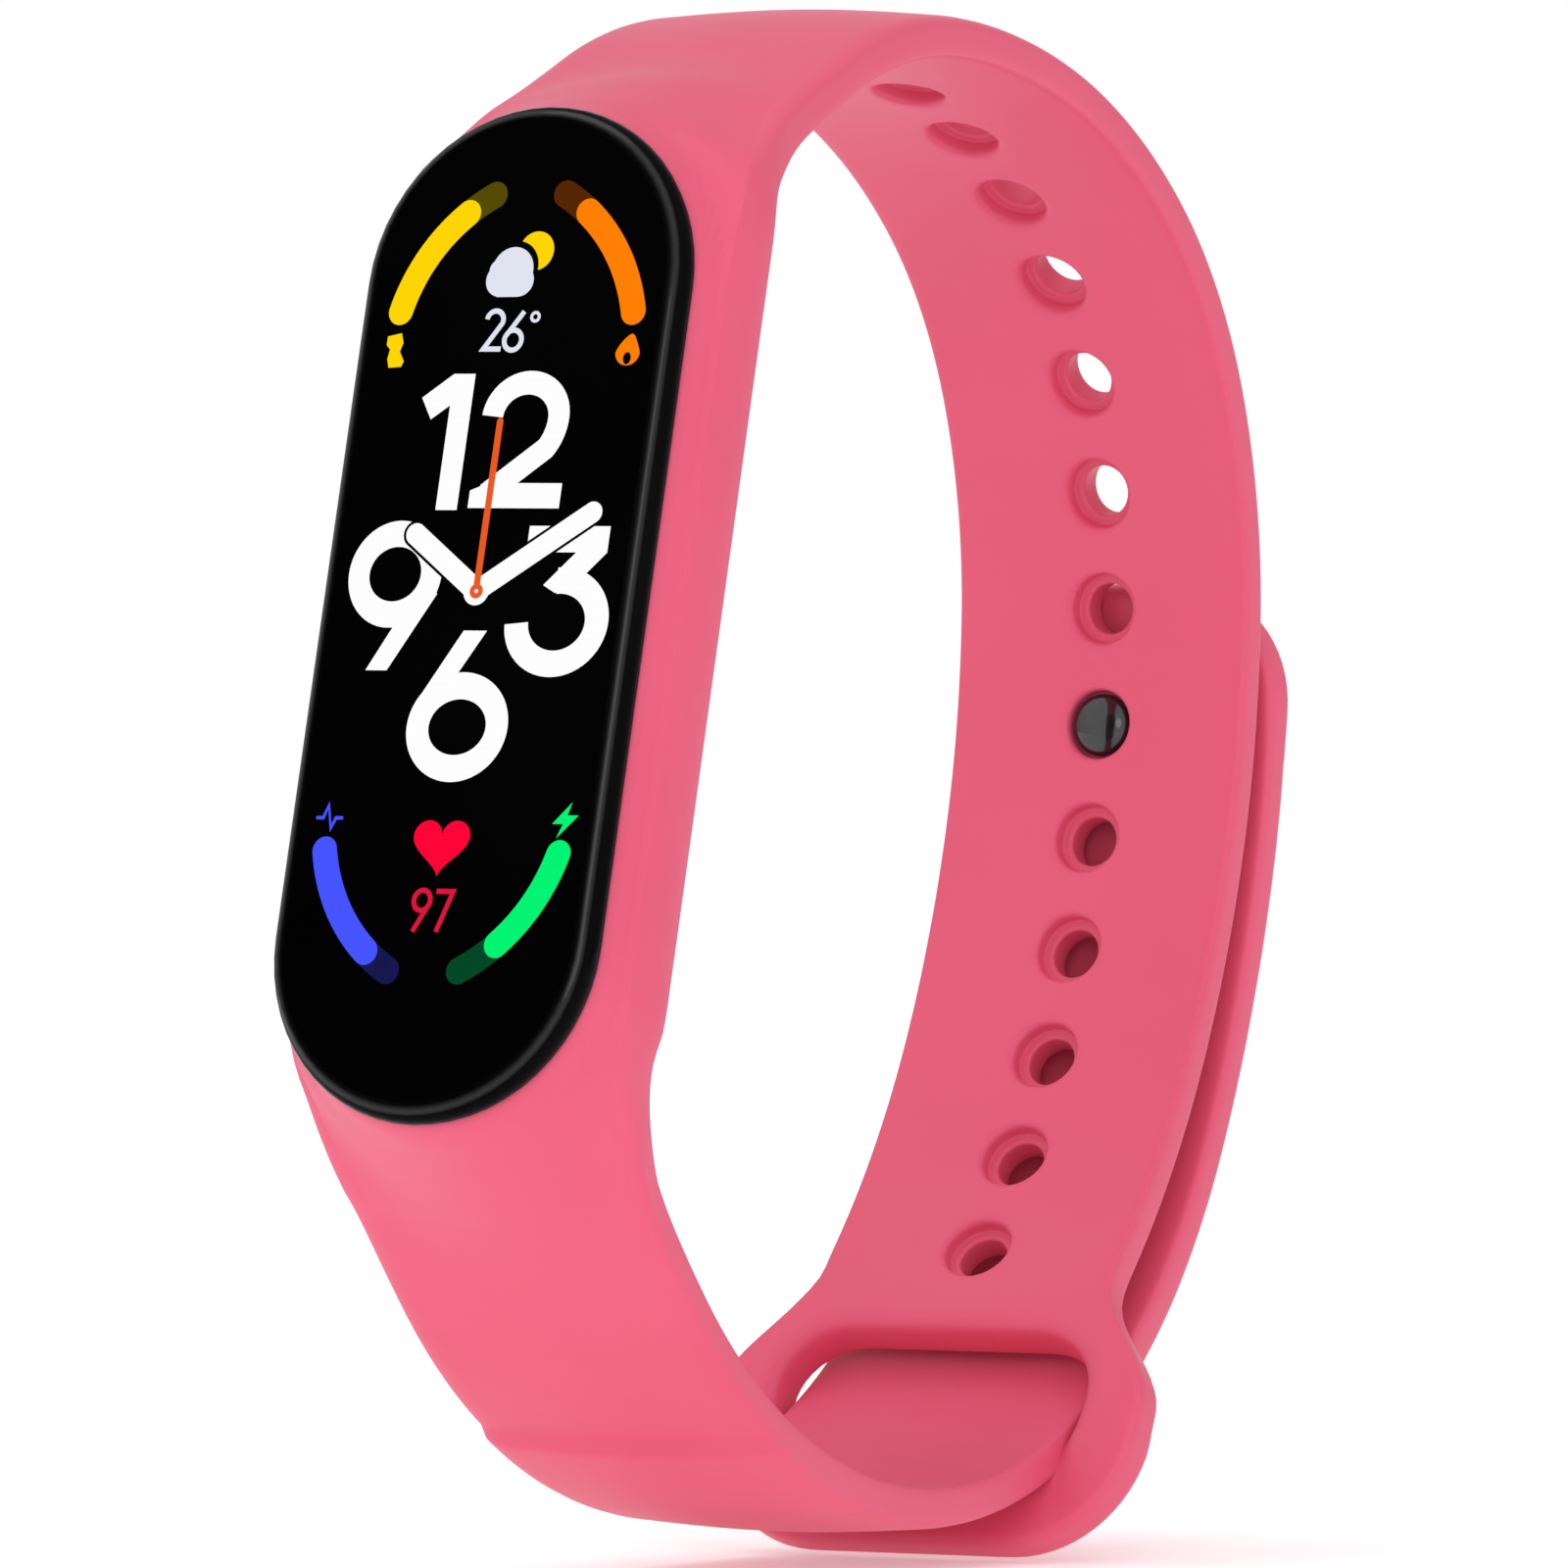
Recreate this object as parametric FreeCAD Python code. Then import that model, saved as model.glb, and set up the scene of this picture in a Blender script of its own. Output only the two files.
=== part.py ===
import FreeCAD, Part
import math
import os

# Fitness tracker band, closed as it is worn, in millimetres. X is the wrist's axis, +Z is up, and the display
# faces -Y and leans back by TILT. The origin is the middle of the wrist opening.
# The module's parts are drawn in the module's own axes, where x is its width, y its depth from the glass
# inwards and z its length, and are then placed by to_band().

Vector = FreeCAD.Vector
PARTS = "parts"

# ---- module ----
TILT = 15.1
MODULE_AT = Vector(0, -31.8, 7.5)
GLASS_LENGTH, GLASS_WIDTH, GLASS_DEPTH, GLASS_EDGE = 46.5, 16.5, 1.0, 0.9
FLANGE_LENGTH, FLANGE_WIDTH, FLANGE_DEPTH = 46.3, 16.3, 0.2
BODY_LENGTH, BODY_WIDTH, WALL = 45.3, 15.3, 0.9
GASKET_DEPTH, GASKET_BAND = 0.1, 0.8
HOUSING_BACK = 8.0
LEDGE_FRONT, LEDGE_DEPTH, LEDGE_BAND = 3.3, 0.5, 0.5
BACK_SEAL_DEPTH, BACK_COVER_DEPTH = 0.2, 0.8
CLEAR = 0.05

DISPLAY_LENGTH, DISPLAY_WIDTH, DISPLAY_DEPTH = 42.4, 12.4, 1.1
FRAME_DEPTH = 0.6
BATTERY_WIDTH, BATTERY_LENGTH, BATTERY_DEPTH, BATTERY_LOW = 11.2, 19.5, 2.8, -1.5
BOARD_LENGTH, BOARD_WIDTH, BOARD_DEPTH, BOARD_FRONT = 41.6, 11.8, 0.7, 6.5
MOTOR_Z, MOTOR_RADIUS, MOTOR_DEPTH, MOTOR_WALL = -13.0, 4.0, 2.7, 0.3
WEIGHT_RADIUS, WEIGHT_DEPTH, SHAFT_RADIUS, BORE_CLEAR = 3.3, 1.2, 0.5, 0.04

WINDOW_RADIUS, WINDOW_BACK, WINDOW_EDGE = 5.1, 9.6, 0.4
LED_SPACING, DIODE_SPACING = 1.5, 5.4
CONTACT_RADIUS, CONTACT_SPACING, CONTACT_Z, INSULATOR = 1.1, 5.6, -15.5, 0.35

# ---- strap ----
CARRIER_FRONT, CARRIER_BACK = 2.75, 6.9
CARRIER_WIDTH, CARRIER_ROUND = 19.0, 0.4
RIM_FRONT, RIM_LENGTH, RIM_WIDTH, RIM_SLOPE = 1.35, 48.3, 18.2, 0.75
POCKET_CLEAR = 0.1
STRAP_WIDTH, STRAP_DEPTH, STRAP_ROUND = 15.6, 2.0, 0.6
ROOT_LENGTH, ROOT_TAPER, ROOT_BLEND = 7.0, 5.0, 3.4

# Each strap's wrist-side line is a chain of tangent arcs: (length, turn in degrees, positive to the left)
UPPER_START, UPPER_HEADING = (-20.6, 26.3), 24.7
UPPER_BENDS = [(10.3, -1.5), (10.1, -26.5), (10.6, -17.1), (10.3, -21.3), (10.0, -27.4),
               (10.2, -22.5), (10.5, -13.7), (10.8, -12.6), (10.7, -15.6), (10.5, 20.8), (6.0, 0.0)]
LOWER_START, LOWER_HEADING = (-32.34, -13.8), -46.8
LOWER_BENDS = [(6.8, -4.3), (5.5, 4.0), (11.9, 23.2), (14.4, 27.5), (21.6, 47.0),
               (6.6, 12.0), (14.6, 14.5), (8.8, 13.3)]

HOLES, HOLE_FIRST, HOLE_PITCH = 13, 28.7, 5.4
HOLE_RADIUS, COUNTERBORE_RADIUS, COUNTERBORE_DEPTH = 1.15, 1.6, 0.8
STUD_HOLE = 7

RING_NECK, RING_FLARE, RING_WIDTH, RING_DEPTH = 1.6, 6.2, 22.6, 2.2
RING_LENGTH, RING_CORNER = 15.4, 6.1
RING_OPEN_FROM, RING_OPEN_TO, RING_OPEN_WIDTH = 4.7, 12.8, 16.8
RING_OPEN_TOP_ROUND, RING_OPEN_LOW_ROUND = 1.8, 2.2

TAIL_FROM, TAIL_GAP, TAIL_BEYOND_STUD, TAIL_TIP_ROUND = 57.5, 0.3, 6.6, 5.5
STUD_SHANK_RADIUS, STUD_HEAD_RADIUS, STUD_HEAD_DEPTH, STUD_HEAD_RIM = 1.1, 1.45, 0.7, 0.25
CAP_RADIUS, CAP_DEPTH, CAP_ROUND, CAP_CLEAR = 3.0, 0.7, 0.25, 0.0


# ---- helpers ----
def export(shape, name):
    if not shape.isValid():
        raise ValueError("invalid shape: " + name)
    shape.exportStep(PARTS + "/" + name + ".step")
    print("%-18s %9.2f mm3, %d solids" % (name, shape.Volume, len(shape.Solids)))


def to_band(shape):
    placed = shape.copy()
    placed.rotate(Vector(0, 0, 0), Vector(1, 0, 0), -TILT)
    placed.translate(MODULE_AT)
    return placed


def stadium(length, width, front, back, z_mid=0.0):
    """A plate with round ends, in the module's axes, from depth front to depth back."""
    r, h = width / 2, length / 2 - width / 2
    low, high = z_mid - h, z_mid + h
    edges = [Part.makeLine(Vector(-r, front, low), Vector(-r, front, high)),
             Part.Arc(Vector(-r, front, high), Vector(0, front, high + r), Vector(r, front, high)).toShape(),
             Part.makeLine(Vector(r, front, high), Vector(r, front, low)),
             Part.Arc(Vector(r, front, low), Vector(0, front, low - r), Vector(-r, front, low)).toShape()]
    return Part.Face(Part.Wire(edges)).extrude(Vector(0, back - front, 0))


def band(length, width, thick, front, back):
    """A stadium frame: the outer size, and the thickness of its wall."""
    inner = stadium(length - 2 * thick, width - 2 * thick, front - 1, back + 1)
    return stadium(length, width, front, back).cut(inner)


def block(width, length, front, back, x_mid=0.0, z_mid=0.0):
    corner = Vector(x_mid - width / 2, front, z_mid - length / 2)
    return Part.makeBox(width, back - front, length, corner)


def disc(radius, front, back, x=0.0, z=0.0):
    return Part.makeCylinder(radius, back - front, Vector(x, front, z), Vector(0, 1, 0))


def edges_at_depth(shape, depth):
    found = []
    for edge in shape.Edges:
        box = edge.BoundBox
        if abs(box.YMin - depth) < 1e-4 and abs(box.YMax - depth) < 1e-4:
            found.append(edge)
    return found


def trace(start, heading, bends, at, off):
    """The point and heading at length `at` along a chain of arcs, moved `off` to the left of the heading."""
    y, z = start
    h = math.radians(heading)
    left = at
    for length, turn in bends:
        run = min(left, length)
        bend = math.radians(turn) * run / length
        if abs(bend) < 1e-9:
            y, z = y + run * math.cos(h), z + run * math.sin(h)
        else:
            r = run / bend
            y, z = y + r * (math.sin(h + bend) - math.sin(h)), z - r * (math.cos(h + bend) - math.cos(h))
        h += bend
        left -= run
        if left <= 1e-9:
            break
    if left > 0:
        y, z = y + left * math.cos(h), z + left * math.sin(h)
    return Vector(0, y - off * math.sin(h), z + off * math.cos(h)), h


def upper(at, off=0.0):
    return trace(UPPER_START, UPPER_HEADING, UPPER_BENDS, at, off)


def lower(at, off=0.0):
    """The lower strap's wrist side is to the left, so a positive `off` is turned to mean outwards."""
    return trace(LOWER_START, LOWER_HEADING, LOWER_BENDS, at, -off)


def breaks(bends, first, last):
    stops, total = [first], 0.0
    for length, _ in bends:
        total += length
        if first + 0.05 < total < last - 0.05:
            stops.append(total)
    return stops + [last]


def ribbon(line, bends, first, last, near, far, half):
    """A bent slab of the strap, from length first to last, between two offsets, `half` wide each side of X=0."""
    stops = breaks(bends, first, last)

    def side(off, order):
        run = []
        for a, b in zip(order[:-1], order[1:]):
            p, m, q = line(a, off)[0], line((a + b) / 2, off)[0], line(b, off)[0]
            straight = (q - p).cross(m - p).Length < 1e-6
            run.append(Part.makeLine(p, q) if straight else Part.Arc(p, m, q).toShape())
        return run

    edges = side(near, stops)
    edges.append(Part.makeLine(line(last, near)[0], line(last, far)[0]))
    edges += side(far, stops[::-1])
    edges.append(Part.makeLine(line(first, far)[0], line(first, near)[0]))
    face = Part.Face(Part.Wire(edges))
    face.translate(Vector(-half, 0, 0))
    return face.extrude(Vector(2 * half, 0, 0))


def quarter(cx, cs, radius, start):
    """A quarter turn about (cx, cs), as the three points of its arc, from the angle `start` in degrees."""
    angles = [math.radians(start + step) for step in (0, 45, 90)]
    return [(cx + radius * math.cos(a), cs + radius * math.sin(a)) for a in angles]


def s_curve(start, end):
    """Two equal arcs from start to end, both of them along the strap where they begin and finish."""
    shift, run = start[0] - end[0], end[1] - start[1]
    half_turn = math.atan2(shift, run)
    radius = run / 2 / math.sin(2 * half_turn)
    aside, ahead = radius * (1 - math.cos(half_turn)), radius * math.sin(half_turn)
    middle = (start[0] - shift / 2, start[1] + run / 2)
    first = [start, (start[0] - aside, start[1] + ahead), middle]
    return [first, [middle, (end[0] + aside, end[1] - ahead), end]]


def outline_prism(arcs, place, out):
    """A prism along `out` over an outline symmetric about X=0. Its right half is `arcs`, joined by lines."""
    def curve(points):
        spots = [place(x, s) for x, s in points]
        return Part.makeLine(*spots) if len(spots) == 2 else Part.Arc(*spots).toShape()

    chain = arcs + [[(-x, s) for x, s in reversed(arc)] for arc in reversed(arcs)]
    edges = []
    for here, after in zip(chain, chain[1:] + chain[:1]):
        if len(here) > 1:
            edges.append(curve(here))
        if math.dist(here[-1], after[0]) > 1e-6:
            edges.append(curve([here[-1], after[0]]))
    return Part.Face(Part.Wire(edges)).extrude(out)


def strap_prism(arcs, line, at, reach=6.0):
    """The prism of an outline in (x, length along the strap), square to the strap at length `at`."""
    origin, h = line(at)
    along = Vector(0, math.cos(h), math.sin(h))
    out = Vector(0, -math.sin(h), math.cos(h))
    base = origin - out * reach
    return outline_prism(arcs, lambda x, s: base + Vector(x, 0, 0) + along * (s - at), out * (2 * reach))


def softened(shape, radius):
    """Round the long edges that run along the strap's sides."""
    side = max(abs(v.X) for v in shape.Vertexes)
    chosen = []
    for edge in shape.Edges:
        box = edge.BoundBox
        if box.XLength < 1e-4 and abs(abs(box.XMin) - side) < 1e-4 and edge.Length > STRAP_DEPTH + 0.5:
            chosen.append(edge)
    return shape.makeFillet(radius, chosen)


# ---- strap parts ----
def at_module(depth, z):
    """A point of the module's own axes, on X=0, placed in the band."""
    return to_band(Part.Vertex(0, depth, z)).Point


def meet(line, off, depth):
    """Where the strap's straight start, moved `off`, meets a plane of the module; and its direction."""
    near, far = line(0, off)[0], line(ROOT_LENGTH, off)[0]
    along = (far - near).normalize()
    inwards = at_module(1, 0) - at_module(0, 0)
    return near + along * ((depth - (near - MODULE_AT).dot(inwards)) / along.dot(inwards)), along


def root_side(line, sign):
    """Side view of one end of the carrier, from its front plane round to its back plane."""
    front, _ = meet(line, STRAP_DEPTH, CARRIER_FRONT)
    corner, along = meet(line, 0.0, CARRIER_BACK)
    up = (at_module(0, sign) - at_module(0, 0)).normalize()
    towards = (along - up).normalize()
    half_turn = along.getAngle(up) / 2
    radius = ROOT_BLEND / math.tan(half_turn)
    bulge = corner + towards * (radius / math.cos(half_turn) - radius)
    spots = [front, line(ROOT_LENGTH, STRAP_DEPTH)[0], line(ROOT_LENGTH)[0], corner + along * ROOT_BLEND]
    edges = [Part.makeLine(a, b) for a, b in zip(spots[:-1], spots[1:])]
    last = corner - up * ROOT_BLEND
    edges.append(Part.Arc(spots[-1], bulge, last).toShape())
    return edges, front, last


def root_plan(line, sign):
    """The right-hand side of the carrier's outline at one end, from its full width to the strap's."""
    cut = (line(ROOT_LENGTH)[0] - MODULE_AT).dot(at_module(0, sign) - at_module(0, 0))
    curves = s_curve((CARRIER_WIDTH / 2, cut - ROOT_TAPER), (STRAP_WIDTH / 2, cut))
    return curves + [[(STRAP_WIDTH / 2, cut + 10)]]


def carrier_blank():
    """The carrier without its pocket: its side view and its plan, each carried right through."""
    high, high_front, high_back = root_side(upper, 1)
    low, low_front, low_back = root_side(lower, -1)
    edges = high + [Part.makeLine(high_back, low_back)] + low + [Part.makeLine(low_front, high_front)]
    face = Part.Face(Part.Wire(Part.__sortEdges__(edges)))
    face.translate(Vector(-CARRIER_WIDTH, 0, 0))
    side = face.extrude(Vector(2 * CARRIER_WIDTH, 0, 0))
    below = [[(x, -z) for x, z in reversed(arc)] for arc in reversed(root_plan(lower, -1))]
    depth = at_module(40, 0) - at_module(0, 0)
    plan = outline_prism(below + root_plan(upper, 1), lambda x, z: at_module(-10, z) + Vector(x, 0, 0), depth)
    return side.common(plan)


def side_edges(shape):
    """The edges that run along the carrier's two sides, front and back."""
    inwards = at_module(1, 0) - at_module(0, 0)
    found = []
    for edge in shape.Edges:
        middle = edge.valueAt((edge.FirstParameter + edge.LastParameter) / 2)
        way = edge.tangentAt((edge.FirstParameter + edge.LastParameter) / 2)
        cuts = [line(ROOT_LENGTH, STRAP_DEPTH / 2)[0] for line in (upper, lower)]
        ends = [abs(middle.sub(cut).dot(way)) < 0.2 and abs(middle.y - cut.y) < 1.5 for cut in cuts]
        if abs(middle.x) > STRAP_WIDTH / 2 - 0.1 and abs(way.dot(inwards)) < 0.95 and not any(ends):
            found.append(edge)
    return found


def carrier():
    """The frame round the module, with the thick roots of both straps."""
    blank = carrier_blank()
    blank = blank.makeFillet(CARRIER_ROUND, side_edges(blank))
    rim = stadium(RIM_LENGTH, RIM_WIDTH, RIM_FRONT, CARRIER_BACK)
    rim = rim.makeChamfer(RIM_SLOPE, edges_at_depth(rim, RIM_FRONT))
    pocket = stadium(BODY_LENGTH + 2 * POCKET_CLEAR, BODY_WIDTH + 2 * POCKET_CLEAR, -1, CARRIER_BACK + 9)
    return blank.fuse(to_band(rim)).cut(to_band(pocket)).removeSplitter()


def hole_length(index):
    return HOLE_FIRST + index * HOLE_PITCH


def hole_cutter(index):
    at, h = upper(hole_length(index))
    out = Vector(0, -math.sin(h), math.cos(h))
    through = Part.makeCylinder(HOLE_RADIUS, STRAP_DEPTH + 2, at - out, out)
    recess = Part.makeCylinder(COUNTERBORE_RADIUS, COUNTERBORE_DEPTH + 1, at - out, out)
    return through.fuse(recess)


def upper_strap():
    last = hole_length(HOLES - 1) + RING_NECK
    slab = ribbon(upper, UPPER_BENDS, ROOT_LENGTH, last, 0.0, STRAP_DEPTH, STRAP_WIDTH / 2)
    slab = softened(slab, STRAP_ROUND)
    for i in range(HOLES):
        slab = slab.cut(hole_cutter(i))
    return slab


def ring_outline():
    neck, wide, bend = STRAP_WIDTH / 2, RING_WIDTH / 2, RING_CORNER
    flare = s_curve((neck, RING_NECK), (wide, RING_NECK + RING_FLARE))
    return flare + [quarter(wide - bend, RING_LENGTH - bend, bend, 0)]


def ring_opening():
    half, top, low = RING_OPEN_WIDTH / 2, RING_OPEN_TOP_ROUND, RING_OPEN_LOW_ROUND
    return [quarter(half - top, RING_OPEN_FROM + top, top, -90), quarter(half - low, RING_OPEN_TO - low, low, 0)]


def ring_loop():
    """The loop at the end of the upper strap; the lower strap comes up through it."""
    start = hole_length(HOLES - 1)
    slab = ribbon(upper, UPPER_BENDS, start + RING_NECK, start + RING_LENGTH + 1, 0.0, RING_DEPTH, RING_WIDTH)

    def shifted(arcs):
        return [[(x, s + start) for x, s in arc] for arc in arcs]

    middle = start + RING_LENGTH / 2
    outer = strap_prism(shifted(ring_outline()), upper, middle)
    inner = strap_prism(shifted(ring_opening()), upper, middle)
    return slab.common(outer).cut(inner)


def lower_strap():
    slab = ribbon(lower, LOWER_BENDS, ROOT_LENGTH, TAIL_FROM, 0.0, STRAP_DEPTH, STRAP_WIDTH / 2)
    return softened(slab, STRAP_ROUND)


# ---- tail and its stud ----
def stud_axis():
    """The stud stands square to the strap in its hole; its axis runs outwards from the wrist side."""
    at, h = upper(hole_length(STUD_HOLE))
    return at, Vector(0, -math.sin(h), math.cos(h))


def stud_reach():
    """How far along the stud's axis the tail's outer face is, and where that is along the lower strap."""
    at, out = stud_axis()
    best = None
    for i in range(400):
        s = TAIL_FROM + 20 + i * 0.05
        p = lower(s, STRAP_DEPTH)[0] - at
        aside = (p - out * p.dot(out)).Length
        if best is None or aside < best[0]:
            best = (aside, p.dot(out), s)
    return best[1], best[2]


def tail_outline(first, last):
    half, tip = STRAP_WIDTH / 2, TAIL_TIP_ROUND
    return [[(half, first - 1)], quarter(half - tip, last - tip, tip, 0)]


def tail_strap():
    reach, at_stud = stud_reach()
    first, last = TAIL_FROM + TAIL_GAP, at_stud + TAIL_BEYOND_STUD
    slab = ribbon(lower, LOWER_BENDS, first, last, 0.0, STRAP_DEPTH, STRAP_WIDTH / 2)
    tip_from = last - TAIL_TIP_ROUND - 2
    tip = ribbon(lower, LOWER_BENDS, tip_from, last + 1, -1.0, STRAP_DEPTH + 1, STRAP_WIDTH)
    keep = strap_prism(tail_outline(tip_from, last), lower, last - TAIL_TIP_ROUND)
    slab = softened(slab, STRAP_ROUND).cut(tip.cut(keep))
    at, out = stud_axis()
    shank = Part.makeCylinder(STUD_SHANK_RADIUS, 20, at, out)
    recess = Part.makeCylinder(CAP_RADIUS + CAP_CLEAR, 5, at + out * (reach - CAP_DEPTH), out)
    return slab.cut(shank).cut(recess)


def stud_pin():
    """The dome head lies in the hole's wide part; the shank runs to the cap on the tail's outside."""
    reach, _ = stud_reach()
    at, out = stud_axis()
    seat = COUNTERBORE_DEPTH - 0.02
    shank = Part.makeCylinder(STUD_SHANK_RADIUS, reach - CAP_DEPTH - seat, at + out * seat, out)
    rim = Part.makeCylinder(STUD_HEAD_RADIUS, STUD_HEAD_RIM, at + out * seat, out * -1)
    rise = STUD_HEAD_DEPTH - STUD_HEAD_RIM
    ball = (STUD_HEAD_RADIUS ** 2 + rise ** 2) / (2 * rise)
    centre = at + out * (seat - STUD_HEAD_RIM + ball - rise)
    dome = Part.makeSphere(ball, centre)
    keep = Part.makeCylinder(STUD_HEAD_RADIUS, rise + 1, at + out * (seat - STUD_HEAD_RIM), out * -1)
    return shank.fuse(rim).fuse(dome.common(keep)).removeSplitter()


def stud_cap():
    reach, _ = stud_reach()
    at, out = stud_axis()
    cap = Part.makeCylinder(CAP_RADIUS, CAP_DEPTH + 0.1, at + out * (reach - CAP_DEPTH), out)
    rim = []
    for edge in cap.Edges:
        if abs((edge.CenterOfMass - at).dot(out) - (reach + 0.1)) < 1e-3:
            rim.append(edge)
    return cap.makeFillet(CAP_ROUND, rim)


# ---- module parts ----
def cover_glass():
    glass = stadium(GLASS_LENGTH, GLASS_WIDTH, 0, GLASS_DEPTH)
    return glass.makeFillet(GLASS_EDGE, edges_at_depth(glass, 0))


SHELF = GLASS_DEPTH + GASKET_DEPTH
INNER_LENGTH, INNER_WIDTH = BODY_LENGTH - 2 * WALL, BODY_WIDTH - 2 * WALL
FRAME_FRONT = LEDGE_FRONT - FRAME_DEPTH
BACK_FRONT = HOUSING_BACK + BACK_SEAL_DEPTH
BACK_OUT = BACK_FRONT + BACK_COVER_DEPTH
BOARD_BACK = BOARD_FRONT + BOARD_DEPTH
PACK_FRONT = LEDGE_FRONT + 0.1


def glass_gasket():
    return band(FLANGE_LENGTH - 0.4, FLANGE_WIDTH - 0.4, GASKET_BAND, GLASS_DEPTH, SHELF)


def touch_layer():
    """A thin sheet on the back of the glass, inside the housing's opening."""
    return stadium(INNER_LENGTH - 2 * CLEAR, INNER_WIDTH - 2 * CLEAR, GLASS_DEPTH, GLASS_DEPTH + 0.2)


def display_panel():
    return stadium(DISPLAY_LENGTH, DISPLAY_WIDTH, GLASS_DEPTH + 0.2, GLASS_DEPTH + 0.2 + DISPLAY_DEPTH)


def module_housing():
    """The tub: a flange under the glass, straight walls, and a ledge for the mid frame."""
    flange = band(FLANGE_LENGTH, FLANGE_WIDTH, (FLANGE_WIDTH - INNER_WIDTH) / 2, SHELF, SHELF + FLANGE_DEPTH)
    wall = band(BODY_LENGTH, BODY_WIDTH, WALL, SHELF, HOUSING_BACK)
    ledge = band(INNER_LENGTH + 0.2, INNER_WIDTH + 0.2, LEDGE_BAND + 0.1, LEDGE_FRONT, LEDGE_FRONT + LEDGE_DEPTH)
    return flange.fuse(wall).fuse(ledge).removeSplitter()


def mid_frame():
    plate = stadium(INNER_LENGTH - 2 * CLEAR, INNER_WIDTH - 2 * CLEAR, FRAME_FRONT, LEDGE_FRONT)
    window = block(6.0, 2.4, FRAME_FRONT - 1, LEDGE_FRONT + 1, 0, -19.4)
    slots = block(8.0, 3.0, FRAME_FRONT - 1, LEDGE_FRONT + 1, 0, 16.0)
    return plate.cut(window).cut(slots)


def battery_cell():
    cell = block(BATTERY_WIDTH, BATTERY_LENGTH, PACK_FRONT, PACK_FRONT + BATTERY_DEPTH,
                 0, BATTERY_LOW + BATTERY_LENGTH / 2)
    upright = [e for e in cell.Edges if e.BoundBox.YLength > BATTERY_DEPTH - 0.01]
    return cell.makeFillet(1.0, upright)


def battery_lead():
    """A short flat lead from the cell's lower end down to the board."""
    top = PACK_FRONT + BATTERY_DEPTH / 2
    tab = block(2.4, 0.8, top, top + 0.2, 3.0, BATTERY_LOW - 0.4)
    drop = block(2.4, 0.2, top, BOARD_FRONT, 3.0, BATTERY_LOW - 0.9)
    return tab.fuse(drop).removeSplitter()


def main_board():
    return stadium(BOARD_LENGTH, BOARD_WIDTH, BOARD_FRONT, BOARD_BACK)


def processor():
    return block(5.0, 5.0, BOARD_FRONT - 0.8, BOARD_FRONT, -1.6, -5.4)


def shield_can():
    outer = block(5.8, 5.8, BOARD_FRONT - 1.2, BOARD_FRONT, -1.6, -5.4)
    inner = block(5.4, 5.4, BOARD_FRONT - 1.0, BOARD_FRONT + 1, -1.6, -5.4)
    return outer.cut(inner)


def board_chips():
    """Memory, motion sensor and radio on the board's free end."""
    parts = [block(2.6, 2.2, BOARD_FRONT - 0.7, BOARD_FRONT, -2.2, -18.3),
             block(2.0, 2.0, BOARD_FRONT - 0.6, BOARD_FRONT, 2.3, -18.3)]
    for x in (-4.9, 4.9):
        for z in (-9.0, -4.4, -2.6):
            parts.append(block(0.6, 1.1, BOARD_FRONT - 0.35, BOARD_FRONT, x, z))
    return Part.makeCompound(parts)


def display_flex():
    """Folded ribbon from the display's lower edge, round the mid frame's window, to the board."""
    z, thick = -19.4, 0.15
    front = GLASS_DEPTH + 0.2 + DISPLAY_DEPTH
    drop = block(4.4, thick, front, BOARD_FRONT, 0, z - 0.5)
    foot = block(4.4, 1.0, BOARD_FRONT - thick, BOARD_FRONT, 0, z - 0.5)
    return drop.fuse(foot).removeSplitter()


def antenna_strip():
    return block(0.2, 17.0, LEDGE_FRONT + LEDGE_DEPTH + 0.1, BOARD_FRONT - 0.3, -INNER_WIDTH / 2 + 0.3, 6.0)


def motor_case():
    front, back = PACK_FRONT, PACK_FRONT + MOTOR_DEPTH
    can = disc(MOTOR_RADIUS, front, back, 0, MOTOR_Z)
    room = disc(MOTOR_RADIUS - MOTOR_WALL, front + MOTOR_WALL, back - MOTOR_WALL, 0, MOTOR_Z)
    shaft = disc(SHAFT_RADIUS, front, back, 0, MOTOR_Z)
    return can.cut(room).fuse(shaft).removeSplitter()


def motor_weight():
    """Half a disc with a hub, so that it shakes as it spins."""
    middle = PACK_FRONT + MOTOR_DEPTH / 2
    front, back = middle - WEIGHT_DEPTH / 2, middle + WEIGHT_DEPTH / 2
    half = disc(WEIGHT_RADIUS, front, back, 0, MOTOR_Z)
    half = half.cut(block(10, 10, front - 1, back + 1, 0, MOTOR_Z + 5))
    hub = disc(SHAFT_RADIUS + 0.6, front, back, 0, MOTOR_Z)
    bore = disc(SHAFT_RADIUS + BORE_CLEAR, front - 1, back + 1, 0, MOTOR_Z)
    return half.fuse(hub).cut(bore).removeSplitter()


def back_seal():
    return band(BODY_LENGTH - 0.5, BODY_WIDTH - 0.5, 0.5, HOUSING_BACK, BACK_FRONT)


def contact_places():
    return [(-CONTACT_SPACING / 2, CONTACT_Z), (CONTACT_SPACING / 2, CONTACT_Z)]


def back_cover():
    plate = stadium(BODY_LENGTH, BODY_WIDTH, BACK_FRONT, BACK_OUT)
    plate = plate.makeFillet(BACK_COVER_DEPTH - 0.1, edges_at_depth(plate, BACK_OUT))
    plate = plate.cut(disc(WINDOW_RADIUS, BACK_FRONT - 1, BACK_OUT + 1))
    for x, z in contact_places():
        plate = plate.cut(disc(CONTACT_RADIUS + INSULATOR, BACK_FRONT - 1, BACK_OUT + 1, x, z))
    return plate


def sensor_window():
    lens = disc(WINDOW_RADIUS, BACK_FRONT + 0.2, WINDOW_BACK)
    return lens.makeFillet(WINDOW_EDGE, edges_at_depth(lens, WINDOW_BACK))


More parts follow.
